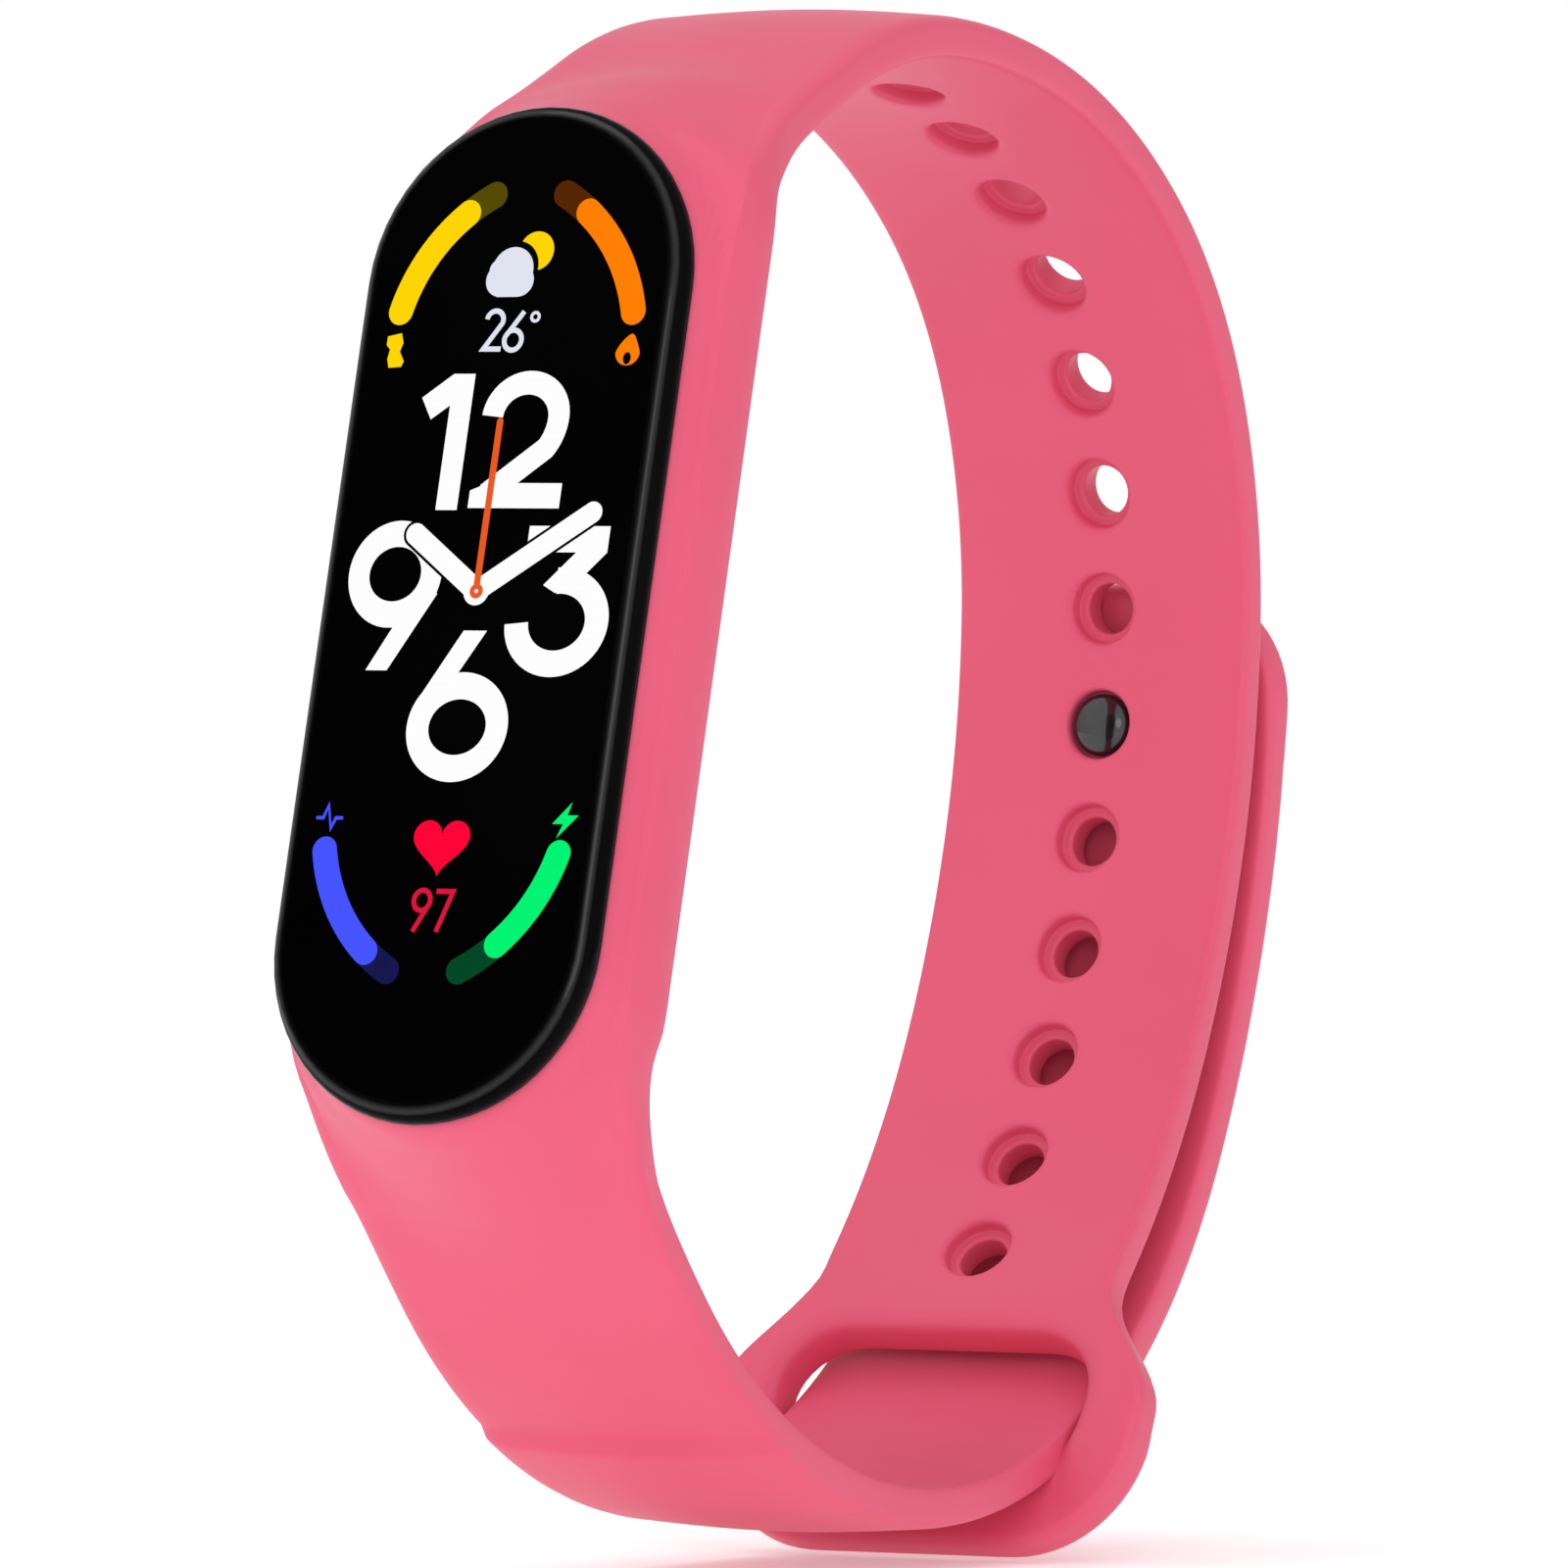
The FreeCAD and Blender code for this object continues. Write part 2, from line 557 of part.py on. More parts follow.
def green_leds():
    places = [(0, LED_SPACING / 2), (0, -LED_SPACING / 2)]
    return Part.makeCompound([block(1.0, 1.0, BOARD_BACK, BOARD_BACK + 0.7, x, z) for x, z in places])


def photodiodes():
    places = [(-DIODE_SPACING / 2, 0), (DIODE_SPACING / 2, 0)]
    return Part.makeCompound([block(1.6, 2.4, BOARD_BACK, BOARD_BACK + 0.6, x, z) for x, z in places])


def light_barrier():
    wall = disc(1.75, BOARD_BACK, BACK_FRONT + 0.2)
    return wall.cut(disc(1.45, BOARD_BACK - 1, BACK_FRONT + 1))


def charge_contacts():
    pins = [disc(CONTACT_RADIUS, BOARD_BACK, BACK_OUT + 0.05, x, z) for x, z in contact_places()]
    return Part.makeCompound(pins)


def contact_seals():
    rings = []
    for x, z in contact_places():
        ring = disc(CONTACT_RADIUS + INSULATOR, BACK_FRONT, BACK_OUT, x, z)
        rings.append(ring.cut(disc(CONTACT_RADIUS, BACK_FRONT - 1, BACK_OUT + 1, x, z)))
    return Part.makeCompound(rings)


MODULE_PARTS = [cover_glass, glass_gasket, touch_layer, display_panel, display_flex, module_housing, mid_frame,
                battery_cell, battery_lead, main_board, processor, shield_can, board_chips, antenna_strip,
                motor_case, motor_weight, back_seal, back_cover, sensor_window, green_leds, photodiodes,
                light_barrier, charge_contacts, contact_seals]
STRAP_PARTS = [carrier, upper_strap, ring_loop, lower_strap, tail_strap, stud_pin, stud_cap]


def main():
    os.makedirs(PARTS, exist_ok=True)
    for make in MODULE_PARTS:
        export(to_band(make()), make.__name__)
    for make in STRAP_PARTS:
        export(make(), make.__name__)


main()
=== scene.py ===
import bpy
import math
import numpy as np
from mathutils import Matrix, Vector


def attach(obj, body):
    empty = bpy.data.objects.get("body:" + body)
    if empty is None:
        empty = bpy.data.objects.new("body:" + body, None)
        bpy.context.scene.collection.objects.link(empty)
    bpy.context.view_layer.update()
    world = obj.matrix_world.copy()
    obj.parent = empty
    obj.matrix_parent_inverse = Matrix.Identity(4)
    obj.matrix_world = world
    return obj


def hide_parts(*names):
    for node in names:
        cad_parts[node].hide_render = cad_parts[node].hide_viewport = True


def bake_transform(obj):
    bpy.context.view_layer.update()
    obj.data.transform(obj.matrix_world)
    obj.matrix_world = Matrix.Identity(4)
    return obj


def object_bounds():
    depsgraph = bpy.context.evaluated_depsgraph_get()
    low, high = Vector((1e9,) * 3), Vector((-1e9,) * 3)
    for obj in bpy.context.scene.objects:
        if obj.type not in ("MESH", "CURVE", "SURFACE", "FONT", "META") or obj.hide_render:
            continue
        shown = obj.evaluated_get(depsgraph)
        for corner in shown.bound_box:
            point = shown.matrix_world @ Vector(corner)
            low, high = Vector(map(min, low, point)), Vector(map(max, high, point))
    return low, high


# Fitness tracker band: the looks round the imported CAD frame. Lengths are millimetres until a mesh is made.
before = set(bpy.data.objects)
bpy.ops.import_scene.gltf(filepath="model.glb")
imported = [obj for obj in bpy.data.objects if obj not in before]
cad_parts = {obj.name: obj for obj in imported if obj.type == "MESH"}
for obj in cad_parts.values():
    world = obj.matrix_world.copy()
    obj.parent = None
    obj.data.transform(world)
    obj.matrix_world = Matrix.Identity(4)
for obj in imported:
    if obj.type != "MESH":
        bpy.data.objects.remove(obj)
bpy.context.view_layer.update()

MM = 0.001
TILT = math.radians(15.1)
CT, ST = math.cos(TILT), math.sin(TILT)
MODULE_Y, MODULE_Z = -31.8, 7.5
BACK, FRONT = 6.9, 2.7
GLASS_HALF, GLASS_ROUND, GLASS_BACK = 8.25, 0.9, 1.0
BODY_HALF, HOUSING_BACK, COVER_FRONT, COVER_BACK = 7.65, 8.0, 8.2, 9.0
WINDOW_RADIUS, WINDOW_EDGE, WINDOW_BACK = 5.1, 0.4, 9.6
CONTACT_X, CONTACT_Z = 2.8, -15.5
STRAP_HALF, CARRIER_HALF, POCKET = 7.7, 9.42, 7.85
RING_HALF, RING_END, RING_CORNER, RING_DEPTH = 11.3, 15.4, 6.1, 2.2
OPENING_HALF, OPENING_FROM, OPENING_TO, OPENING_TOP_ROUND, OPENING_LOW_ROUND = 8.05, 4.7, 12.8, 3.2, 4.6


# ---- small maths ----
def smoothstep(a, b, x):
    t = np.clip((np.asarray(x, float) - a) / (b - a), 0, 1)
    return t * t * (3 - 2 * t)


def smin(a, b, k):
    h = np.clip(0.5 + 0.5 * (b - a) / np.maximum(k, 1e-6), 0, 1)
    return b + (a - b) * h - k * h * (1 - h)


def soft_over(v, k):
    """The part of v above nought, rounded off over k."""
    return 0.5 * (v + np.sqrt(v * v + k * k))


def lerp(a, b, t):
    return a + (b - a) * t


def spline(points, count):
    """Quadratic B-spline through the first and last control points; count samples, both ends included."""
    points = np.asarray(points, float)
    n = len(points)
    values = []
    for u in np.linspace(0, n - 2 - 1e-9, count):
        i = int(u)
        a = points[i] if i == 0 else (points[i] + points[i + 1]) / 2
        b = points[i + 1]
        c = points[i + 2] if i == n - 3 else (points[i + 1] + points[i + 2]) / 2
        f = u - i
        values.append(a * (1 - f) ** 2 + 2 * b * f * (1 - f) + c * f * f)
    return np.array(values)


def module_to_band(p):
    p = np.asarray(p, float)
    x, y, z = p[..., 0], p[..., 1], p[..., 2]
    return np.stack([x, MODULE_Y + y * CT + z * ST, MODULE_Z - y * ST + z * CT], -1)


# ---- the band's wrist-side line, from the tail's tip up to the loop's end ----
UPPER_START, UPPER_HEADING = (-20.6, 26.3), 24.7
UPPER_BENDS = [(10.3, -1.5), (10.1, -26.5), (10.6, -17.1), (10.3, -21.3), (10.0, -27.4),
               (10.2, -22.5), (10.5, -13.7), (10.8, -12.6), (10.7, -15.6), (10.5, 20.8), (6.0, 0.0)]
LOWER_START, LOWER_HEADING = (-32.34, -13.8), -46.8
LOWER_BENDS = [(6.8, -4.3), (5.5, 4.0), (11.9, 23.2), (14.4, 27.5), (21.6, 47.0),
               (6.6, 12.0), (14.6, 14.5), (8.8, 13.3)]
TIP_AT = 93.3
ROOT_FROM = 5.0
ROOT_BLEND = 3.4


def walk(start, heading, bends, at):
    y, z = start
    h = math.radians(heading)
    left = at
    for length, turn in bends:
        run = min(left, length)
        bend = math.radians(turn) * run / length
        if abs(bend) < 1e-9:
            y, z = y + run * math.cos(h), z + run * math.sin(h)
        else:
            r = run / bend
            y, z = y + r * (math.sin(h + bend) - math.sin(h)), z - r * (math.cos(h + bend) - math.cos(h))
        h += bend
        left -= run
        if left <= 1e-9:
            break
    if left > 0:
        y, z = y + left * math.cos(h), z + left * math.sin(h)
    return np.array([y, z]), h


def heading_vector(h):
    return np.array([math.cos(h), math.sin(h)])


def cross_at(p, a, q, b):
    """How far from p along a the line meets the line through q along b, and how far along b from q."""
    m = np.array([[a[0], -b[0]], [a[1], -b[1]]])
    return np.linalg.solve(m, q - p)


back_heading = math.pi / 2 - TILT
back_point = module_to_band([0, BACK, 0])[1:]
back_way = heading_vector(back_heading)
low_point, low_h = walk(LOWER_START, LOWER_HEADING, LOWER_BENDS, ROOT_FROM)
low_way = -heading_vector(low_h)
low_run, low_on_back = cross_at(low_point, low_way, back_point, back_way)
up_point, up_h = walk(UPPER_START, UPPER_HEADING, UPPER_BENDS, ROOT_FROM)
up_way = heading_vector(up_h)
up_run, up_on_back = cross_at(up_point, -up_way, back_point, back_way)

chain = []
left_over = TIP_AT - sum(b[0] for b in LOWER_BENDS)
if left_over > 0:
    chain.append((left_over, 0.0))
for length, turn in LOWER_BENDS[:0:-1]:
    chain.append((length, -turn))
first_length, first_turn = LOWER_BENDS[0]
chain.append((first_length - ROOT_FROM, -first_turn * (1 - ROOT_FROM / first_length)))
turn_low = math.degrees(back_heading - (low_h + math.pi))
turn_up = math.degrees(up_h - back_heading)
radius_low = ROOT_BLEND / math.tan(abs(math.radians(turn_low)) / 2)
radius_up = ROOT_BLEND / math.tan(abs(math.radians(turn_up)) / 2)
chain.append((low_run - ROOT_BLEND, 0.0))
FAN_LOW_A = sum(c[0] for c in chain)
chain.append((radius_low * abs(math.radians(turn_low)), turn_low))
FAN_LOW_B = sum(c[0] for c in chain)
chain.append((up_on_back - low_on_back - 2 * ROOT_BLEND, 0.0))
FAN_UP_A = sum(c[0] for c in chain)
chain.append((radius_up * abs(math.radians(turn_up)), turn_up))
FAN_UP_B = sum(c[0] for c in chain)
chain.append((up_run - ROOT_BLEND, 0.0))
UPPER_ZERO = sum(c[0] for c in chain) - ROOT_FROM
first_length, first_turn = UPPER_BENDS[0]
chain.append((first_length - ROOT_FROM, first_turn * (1 - ROOT_FROM / first_length)))
chain += UPPER_BENDS[1:]
chain.append((3.0, 0.0))
tip_point, tip_h = walk(LOWER_START, LOWER_HEADING, LOWER_BENDS, TIP_AT)
fine_t = np.arange(0, sum(c[0] for c in chain), 0.05)
fine = [walk(tip_point, math.degrees(tip_h) + 180, chain, t) for t in fine_t]
fine_y = np.array([f[0][0] for f in fine])
fine_z = np.array([f[0][1] for f in fine])
fine_h = np.array([f[1] for f in fine])


def base(t):
    return np.interp(t, fine_t, fine_y), np.interp(t, fine_t, fine_z), np.interp(t, fine_t, fine_h)


def point(t, x, m):
    """The band's point at length t, across x and m outwards from the wrist side."""
    t, x, m = np.broadcast_arrays(np.asarray(t, float), np.asarray(x, float), np.asarray(m, float))
    y, z, h = base(t)
    return np.stack([x, y - m * np.sin(h), z + m * np.cos(h)], -1)


# ---- the strap's section ----
HOLE_FIRST, HOLE_PITCH, HOLES, STUD_HOLE = 28.7, 5.4, 13, 7
RING_ZERO = UPPER_ZERO + HOLE_FIRST + HOLE_PITCH * (HOLES - 1)
MID = (FAN_LOW_B + FAN_UP_A) / 2


def half_width(t):
    t = np.asarray(t, float)
    top = STRAP_HALF + 2.4 / (1 + np.exp(np.clip((t - UPPER_ZERO - 0.7) / 1.8, -40, 40)))
    low = STRAP_HALF + 1.0 / (1 + np.exp(np.clip((TIP_AT - t + 0.6) / 0.6, -40, 40)))
    low = low + 0.95 / (1 + np.exp(np.clip((TIP_AT - t - 3.6) / 1.2, -40, 40)))
    w = smin(np.where(t > MID, top, low), CARRIER_HALF, 0.25)
    return w + 3.5 * smoothstep(1.4, 8.0, t - RING_ZERO)


def carrier_share(t):
    w = half_width(t)
    return np.where(np.asarray(t) > RING_ZERO - 20, 0.0, smoothstep(7.9, 9.4, w))


def outer(t, x):
    """How far the outer face stands from the wrist-side line."""
    t, x = np.broadcast_arrays(np.asarray(t, float), np.asarray(x, float))
    w = half_width(t)
    across = np.clip(1 - (x / w) ** 2, 0, 1)
    y, z, h = base(t)
    depth = (y - MODULE_Y) * CT - (z - MODULE_Z) * ST
    lean = np.clip(np.cos(h - back_heading), 0.25, 1)
    plane = np.where(np.abs(t - MID) < 40, (depth - FRONT) / lean, 99.0)
    u = np.where(t > MID, t - FAN_UP_A, FAN_LOW_B - t)
    crown = 0.36 + 2.1 * np.exp(-(np.maximum(u - 1, 0) / np.where(t > MID, 6.2, 5.6)) ** 2)
    ends = 4.0 - 0.8 * (1 - across)
    ramp = 1.3 * np.logaddexp(0, (ends - u) * 1.6) / 1.6
    strap = 1.9 + crown * across ** 1.3 + ramp
    strap = np.where(t > RING_ZERO, lerp(strap, RING_DEPTH, smoothstep(0, 3.5, t - RING_ZERO)), strap)
    m = smin(strap, plane, 1.0)
    near = np.abs(t - MID) < 40
    if near.any():
        up = (y - MODULE_Y) * ST + (z - MODULE_Z) * CT
        side = np.sin(back_heading - h)

        def room(v):
            py, pz = depth - v * lean, up + v * side
            over = soft_over(np.abs(pz - 0.28 * (py - 0.9)) - SPINE, 0.4)
            return py - 1.15 - 1.5 * soft_over(np.sqrt(x ** 2 + over ** 2) - 8.3, 0.3)

        a, b = np.zeros(np.shape(m)), np.full(np.shape(m), 12.0)
        ra, rb = room(a), room(b)
        for _ in range(7):
            mid = (a + b) / 2
            rm = room(mid)
            a, ra = np.where(rm > 0, mid, a), np.where(rm > 0, rm, ra)
            b, rb = np.where(rm > 0, b, mid), np.where(rm > 0, rb, rm)
        share = np.clip(ra / np.where(np.abs(ra - rb) < 1e-9, 1, ra - rb), 0, 1)
        shoulder = -smin(-(a + (b - a) * share), -1.95, 0.9)
        m = np.where(near, smin(m, shoulder, 1.4), m)
    return m


SIDE = 15
SPINE = 15.0


def side_profile(t):
    """The rounded side, from the outer face's edge to the wrist side's, as (x, m)."""
    q = float(carrier_share(t))
    w = float(half_width(t))
    edge = w - lerp(1.0, 0.5, q)
    top = float(outer(t, edge))
    control = [(edge, top), (w - lerp(0.05, 0.4, q), top - lerp(0.12, 0.2, q)),
               (w, min(lerp(1.1, 2.4, q), top * 0.5)), (w - lerp(0, 0.25, q), lerp(0.35, 0.9, q)),
               (w - lerp(0.1, 1.1, q), 0.0), (w - lerp(0.6, 2.2, q), 0.0)]
    return spline(control, SIDE + 2)


HALF_PITCH = HOLE_PITCH / 2
INNER_COLUMNS = [HALF_PITCH * j / 4 for j in range(-4, 5)]


def columns(edge, steps=6):
    side = [lerp(HALF_PITCH, edge, (i + 1) / steps) for i in range(steps)]
    return np.array([-v for v in reversed(side)] + INNER_COLUMNS + side)


def section(t):
    """One closed loop of (x, m): outer face, right side, wrist side, left side."""
    profile = side_profile(t)
    xs = columns(profile[0][0])
    face = np.stack([xs, outer(t, xs)], -1)
    right = profile[1:-1]
    back_xs = columns(profile[-1][0])[::-1]
    under = np.stack([back_xs, np.zeros(len(back_xs))], -1)
    left = right[::-1] * [-1, 1]
    return np.concatenate([face, right, under, left])


FACE = 21


# ---- mesh building ----
class Mesh:
    """Points and faces in millimetres; points that fall together are welded when it is made."""

    def __init__(self):
        self.points, self.faces, self.count = [], [], 0

    def add(self, points):
        points = np.asarray(points, float).reshape(-1, 3)
        at = self.count
        self.points.append(points)
        self.count += len(points)
        return np.arange(at, at + len(points))

    def quads(self, rows, closed=False, flip=False, keep=None):
        for i in range(len(rows) - 1):
            a, b = rows[i], rows[i + 1]
            n = len(a)
            for j in range(n if closed else n - 1):
                if keep is not None and not keep(i, j):
                    continue
                k = (j + 1) % n
                q = (a[j], a[k], b[k], b[j])
                self.faces.append(q[::-1] if flip else q)

    def fan(self, loop, centre, flip=False):
        for j in range(len(loop)):
            f = (loop[j], loop[(j + 1) % len(loop)], centre)
            self.faces.append(f[::-1] if flip else f)

    def build(self, name, material, weld=0.004, angle=None):
        co = np.concatenate(self.points)
        key = np.round(co / weld).astype(np.int64)
        _, first, inverse = np.unique(key, axis=0, return_index=True, return_inverse=True)
        inverse = inverse.reshape(-1)
        faces = []
        for f in self.faces:
            g = []
            for v in f:
                w = int(inverse[v])
                if w not in g:
                    g.append(w)
            if len(g) > 2:
                faces.append(g)
        mesh = bpy.data.meshes.new(name)
        mesh.from_pydata((co[first] * MM).tolist(), [], faces)
        mesh.validate(clean_customdata=False)
        mesh.polygons.foreach_set("use_smooth", [True] * len(mesh.polygons))
        mesh.update()
        obj = bpy.data.objects.new(name, mesh)
        bpy.context.scene.collection.objects.link(obj)
        for m in material if isinstance(material, list) else [material]:
            mesh.materials.append(m)
        if angle is not None:
            mesh.set_sharp_from_angle(angle=math.radians(angle))
        return obj


def outward(obj):
    import bmesh
    bm = bmesh.new()
    bm.from_mesh(obj.data)
    bmesh.ops.recalc_face_normals(bm, faces=bm.faces)
    bm.to_mesh(obj.data)
    bm.free()
    return obj


def stations(a, b, step):
    n = max(1, round((b - a) / step))
    return list(np.linspace(a, b, n + 1)[:-1])


def disc_levels(mesh, loop_points, centre, place, flip):
    """Fill a flat-ish loop by shrinking it on a centre: loop_points and centre are 2-D, place lifts them."""
    rows = []
    for v in (1, 0.85, 0.7, 0.55, 0.4, 0.25, 0.12):
        rows.append(mesh.add(place(centre + (loop_points - centre) * v)))
    mesh.quads(rows, closed=True, flip=flip)
    mid = mesh.add(place(np.array([centre])))[0]
    mesh.fan(rows[-1], mid, flip=flip)


# ---- strap: carrier, upper strap with its holes, loop, and lower strap ----
JOIN_AT = 46.0
ROW_LOW = FAN_LOW_A - 0.6
ROW_UP = FAN_UP_B + 0.6
RING_ROW = RING_ZERO + HALF_PITCH


def carrier_rows():
    low, middle = stations(ROW_LOW, FAN_LOW_B, 0.5), stations(FAN_LOW_B, FAN_UP_A, 0.75)
    return low + middle + stations(FAN_UP_A, ROW_UP, 0.5) + [ROW_UP]


def to_module(p):
    y, z = p[..., 1] - MODULE_Y, p[..., 2] - MODULE_Z
    return np.stack([p[..., 0], y * CT - z * ST, y * ST + z * CT], -1)


carrier_t = np.linspace(ROW_LOW - 3, ROW_UP + 3, 700)


def height(x, z, on_front):
    """The depth of the carrier's front or back face at (x, z) of the module's own axes."""
    result = np.zeros(len(x))
    for i in range(len(x)):
        m = outer(carrier_t, x[i]) if on_front else np.zeros(len(carrier_t))
        p = to_module(point(carrier_t, np.full(len(carrier_t), x[i]), m))
        result[i] = np.interp(z[i], p[:, 2], p[:, 1])
    return result


def carrier_face(mesh, rows_t, on_front):
    """The face round the pocket, and the loop of points at the pocket's edge."""
    edge = []
    for t in rows_t:
        profile = side_profile(t)
        edge.append(profile[0] if on_front else profile[-1])
    edge = np.array(edge)
    right = point(rows_t, edge[:, 0], edge[:, 1])
    left = point(rows_t, -edge[:, 0], edge[:, 1])[::-1]
    top_x = columns(edge[-1][0])[::-1][1:-1]
    low_x = columns(edge[0][0])[1:-1]
    top = point(rows_t[-1], top_x, outer(rows_t[-1], top_x) if on_front else 0 * top_x)
    low = point(rows_t[0], low_x, outer(rows_t[0], low_x) if on_front else 0 * low_x)
    loop = np.concatenate([right, top, left, low])
    flat = to_module(loop)
    x, z = flat[:, 0], flat[:, 2]
    anchor = np.clip(z, -SPINE, SPINE)
    away = np.stack([x, z - anchor], -1)
    away /= np.linalg.norm(away, axis=1)[:, None]
    px, pz = away[:, 0] * POCKET, anchor + away[:, 1] * POCKET
    rows = []
    for v in [0, 0.07, 0.14, 0.22, 0.3, 0.4, 0.5, 0.6, 0.7, 0.8, 0.9, 1.0]:
        if v == 1.0:
            rows.append(mesh.add(loop))
            continue
        share = v ** 1.25
        gx, gz = lerp(px, x, share), lerp(pz, z, share)
        gy = height(gx, gz, on_front)
        if on_front:
            off = np.hypot(gx, gz - np.clip(gz, -SPINE, SPINE)) - POCKET
            rim = 1.42 + np.maximum(0, off - 0.25) * 1.42 + 2.4 * np.maximum(0, off - 0.5) ** 2
            gy = smin(gy, rim, 0.35 * (1 - v) + 1e-4)
        rows.append(mesh.add(module_to_band(np.stack([gx, gy, gz], -1))))
    mesh.quads(rows, closed=True, flip=not on_front)
    return rows[0], away, anchor


def hole(mesh, index):
    """A hole through the strap, wide on the wrist side, with soft edges, in its square of the strap."""
    t0 = UPPER_ZERO + HOLE_FIRST + index * HOLE_PITCH
    along = np.linspace(-HALF_PITCH, HALF_PITCH, 9)[:-1]
    square = [(v, -HALF_PITCH) for v in along] + [(HALF_PITCH, v) for v in along]
    square = np.array(square + [(-v, HALF_PITCH) for v in along] + [(-HALF_PITCH, -v) for v in along])
    unit = square / np.linalg.norm(square, axis=1)[:, None]
    rows = []
    rim, big, lip, foot = 1.15, 1.62, 0.3, 0.28
    quarter = np.radians((0, 30, 60, 90))
    for v in (0, 0.25, 0.5, 0.75, 0.9, 1):
        p = lerp(square, unit * (rim + lip), v)
        rows.append(mesh.add(point(t0 + p[:, 1], p[:, 0], outer(t0 + p[:, 1], p[:, 0]))))
    top = outer(t0, 0) - 0.04
    wall = []
    for a in np.radians((20, 40, 60, 90)):
        wall.append((rim + lip - lip * math.sin(a), top - lip * (1 - math.cos(a))))
    wall += [(rim, m) for m in (1.7, 1.4, 1.15)]
    wall += [(rim + 0.15 * (1 - math.cos(a)), 0.95 - 0.15 * math.sin(a)) for a in quarter]
    wall += [(big - 0.12 + 0.12 * math.sin(a), 0.68 + 0.12 * math.cos(a)) for a in quarter]
    wall.append((big, 0.45))
    wall += [(big + foot * (1 - math.cos(a)), foot * (1 - math.sin(a))) for a in quarter]
    for r, m in wall:
        p = unit * r
        rows.append(mesh.add(point(t0 + p[:, 1], p[:, 0], m)))
    for v in (0.3, 0.6, 1):
        p = lerp(unit * (big + foot), square, v)
        rows.append(mesh.add(point(t0 + p[:, 1], p[:, 0], 0)))
    mesh.quads(rows, closed=True, flip=True)


def outline(right, step, centre):
    """Even spots along a mirrored outline in (x, u), with the way outwards at each."""
    spots, normals = resample(mirrored(right), step)
    wrong = np.sum(normals * (spots - centre), 1)[:, None] < 0
    normals = np.where(wrong, -normals, normals)
    share = np.array([float(smoothstep(0, 5, min(i, len(spots) - 1 - i))) for i in range(len(spots))])
    sides = np.where(spots[:, 0] > 0, 1.0, -1.0)
    ways = lerp(np.stack([sides, 0 * sides], -1), normals, share[:, None])
    return spots, ways / np.linalg.norm(ways, axis=1)[:, None], share


def outline_strip(mesh, shape, t_of, front_cut, back_cut):
    """The rounded side swept along an outline, each row from the outer face's edge to the wrist side's."""
    rows = []
    for spot, way, g in zip(*shape):
        cut = lerp(1.0, front_cut, g)
        at = spot - way * cut
        top = float(outer(t_of(at[1]), at[0]))
        control = [(-cut, top), (-lerp(0.05, 0, g), top - lerp(0.12, 0.02, g)), (0, min(1.1, top * 0.6)),
                   (0, 0.35), (-lerp(0.1, 0.25, g), 0.0), (-lerp(0.6, back_cut, g), 0.0)]
        profile = spline(control, SIDE + 2)
        p = spot + way * profile[:, :1]
        rows.append(mesh.add(point(t_of(p[:, 1]), p[:, 0], profile[:, 1])))
    mesh.quads(rows)


def inside_loop(shape, row_u, t, on_front, cuts):
    """The closed loop inside an outline's strip: across the strap at row_u, then along the strip's edge."""
    spots, ways, share = shape
    row_x = columns(side_profile(t)[0 if on_front else -1][0])[1:-1]
    row = np.stack([row_x, np.full(len(row_x), row_u)], -1)
    cut = lerp(1.0, cuts[0], share) if on_front else lerp(0.6, cuts[1], share)
    return np.concatenate([row, spots - ways * cut[:, None]])


def resample(points, step):
    points = np.asarray(points, float)
    run = np.concatenate([[0], np.cumsum(np.linalg.norm(np.diff(points, axis=0), axis=1))])
    n = max(2, int(round(run[-1] / step)))
    s = np.linspace(0, run[-1], n + 1)
    spots = np.stack([np.interp(s, run, points[:, 0]), np.interp(s, run, points[:, 1])], -1)
    ahead = np.gradient(spots, axis=0)
    ahead /= np.linalg.norm(ahead, axis=1)[:, None]
    return spots, np.stack([ahead[:, 1], -ahead[:, 0]], -1)


def arc(cx, cy, r, a, b, n=16):
    angles = np.radians(np.linspace(a, b, n))
    return [(cx + r * math.cos(v), cy + r * math.sin(v)) for v in angles]


def mirrored(right):
    return right + [(-x, u) for x, u in reversed(right)]


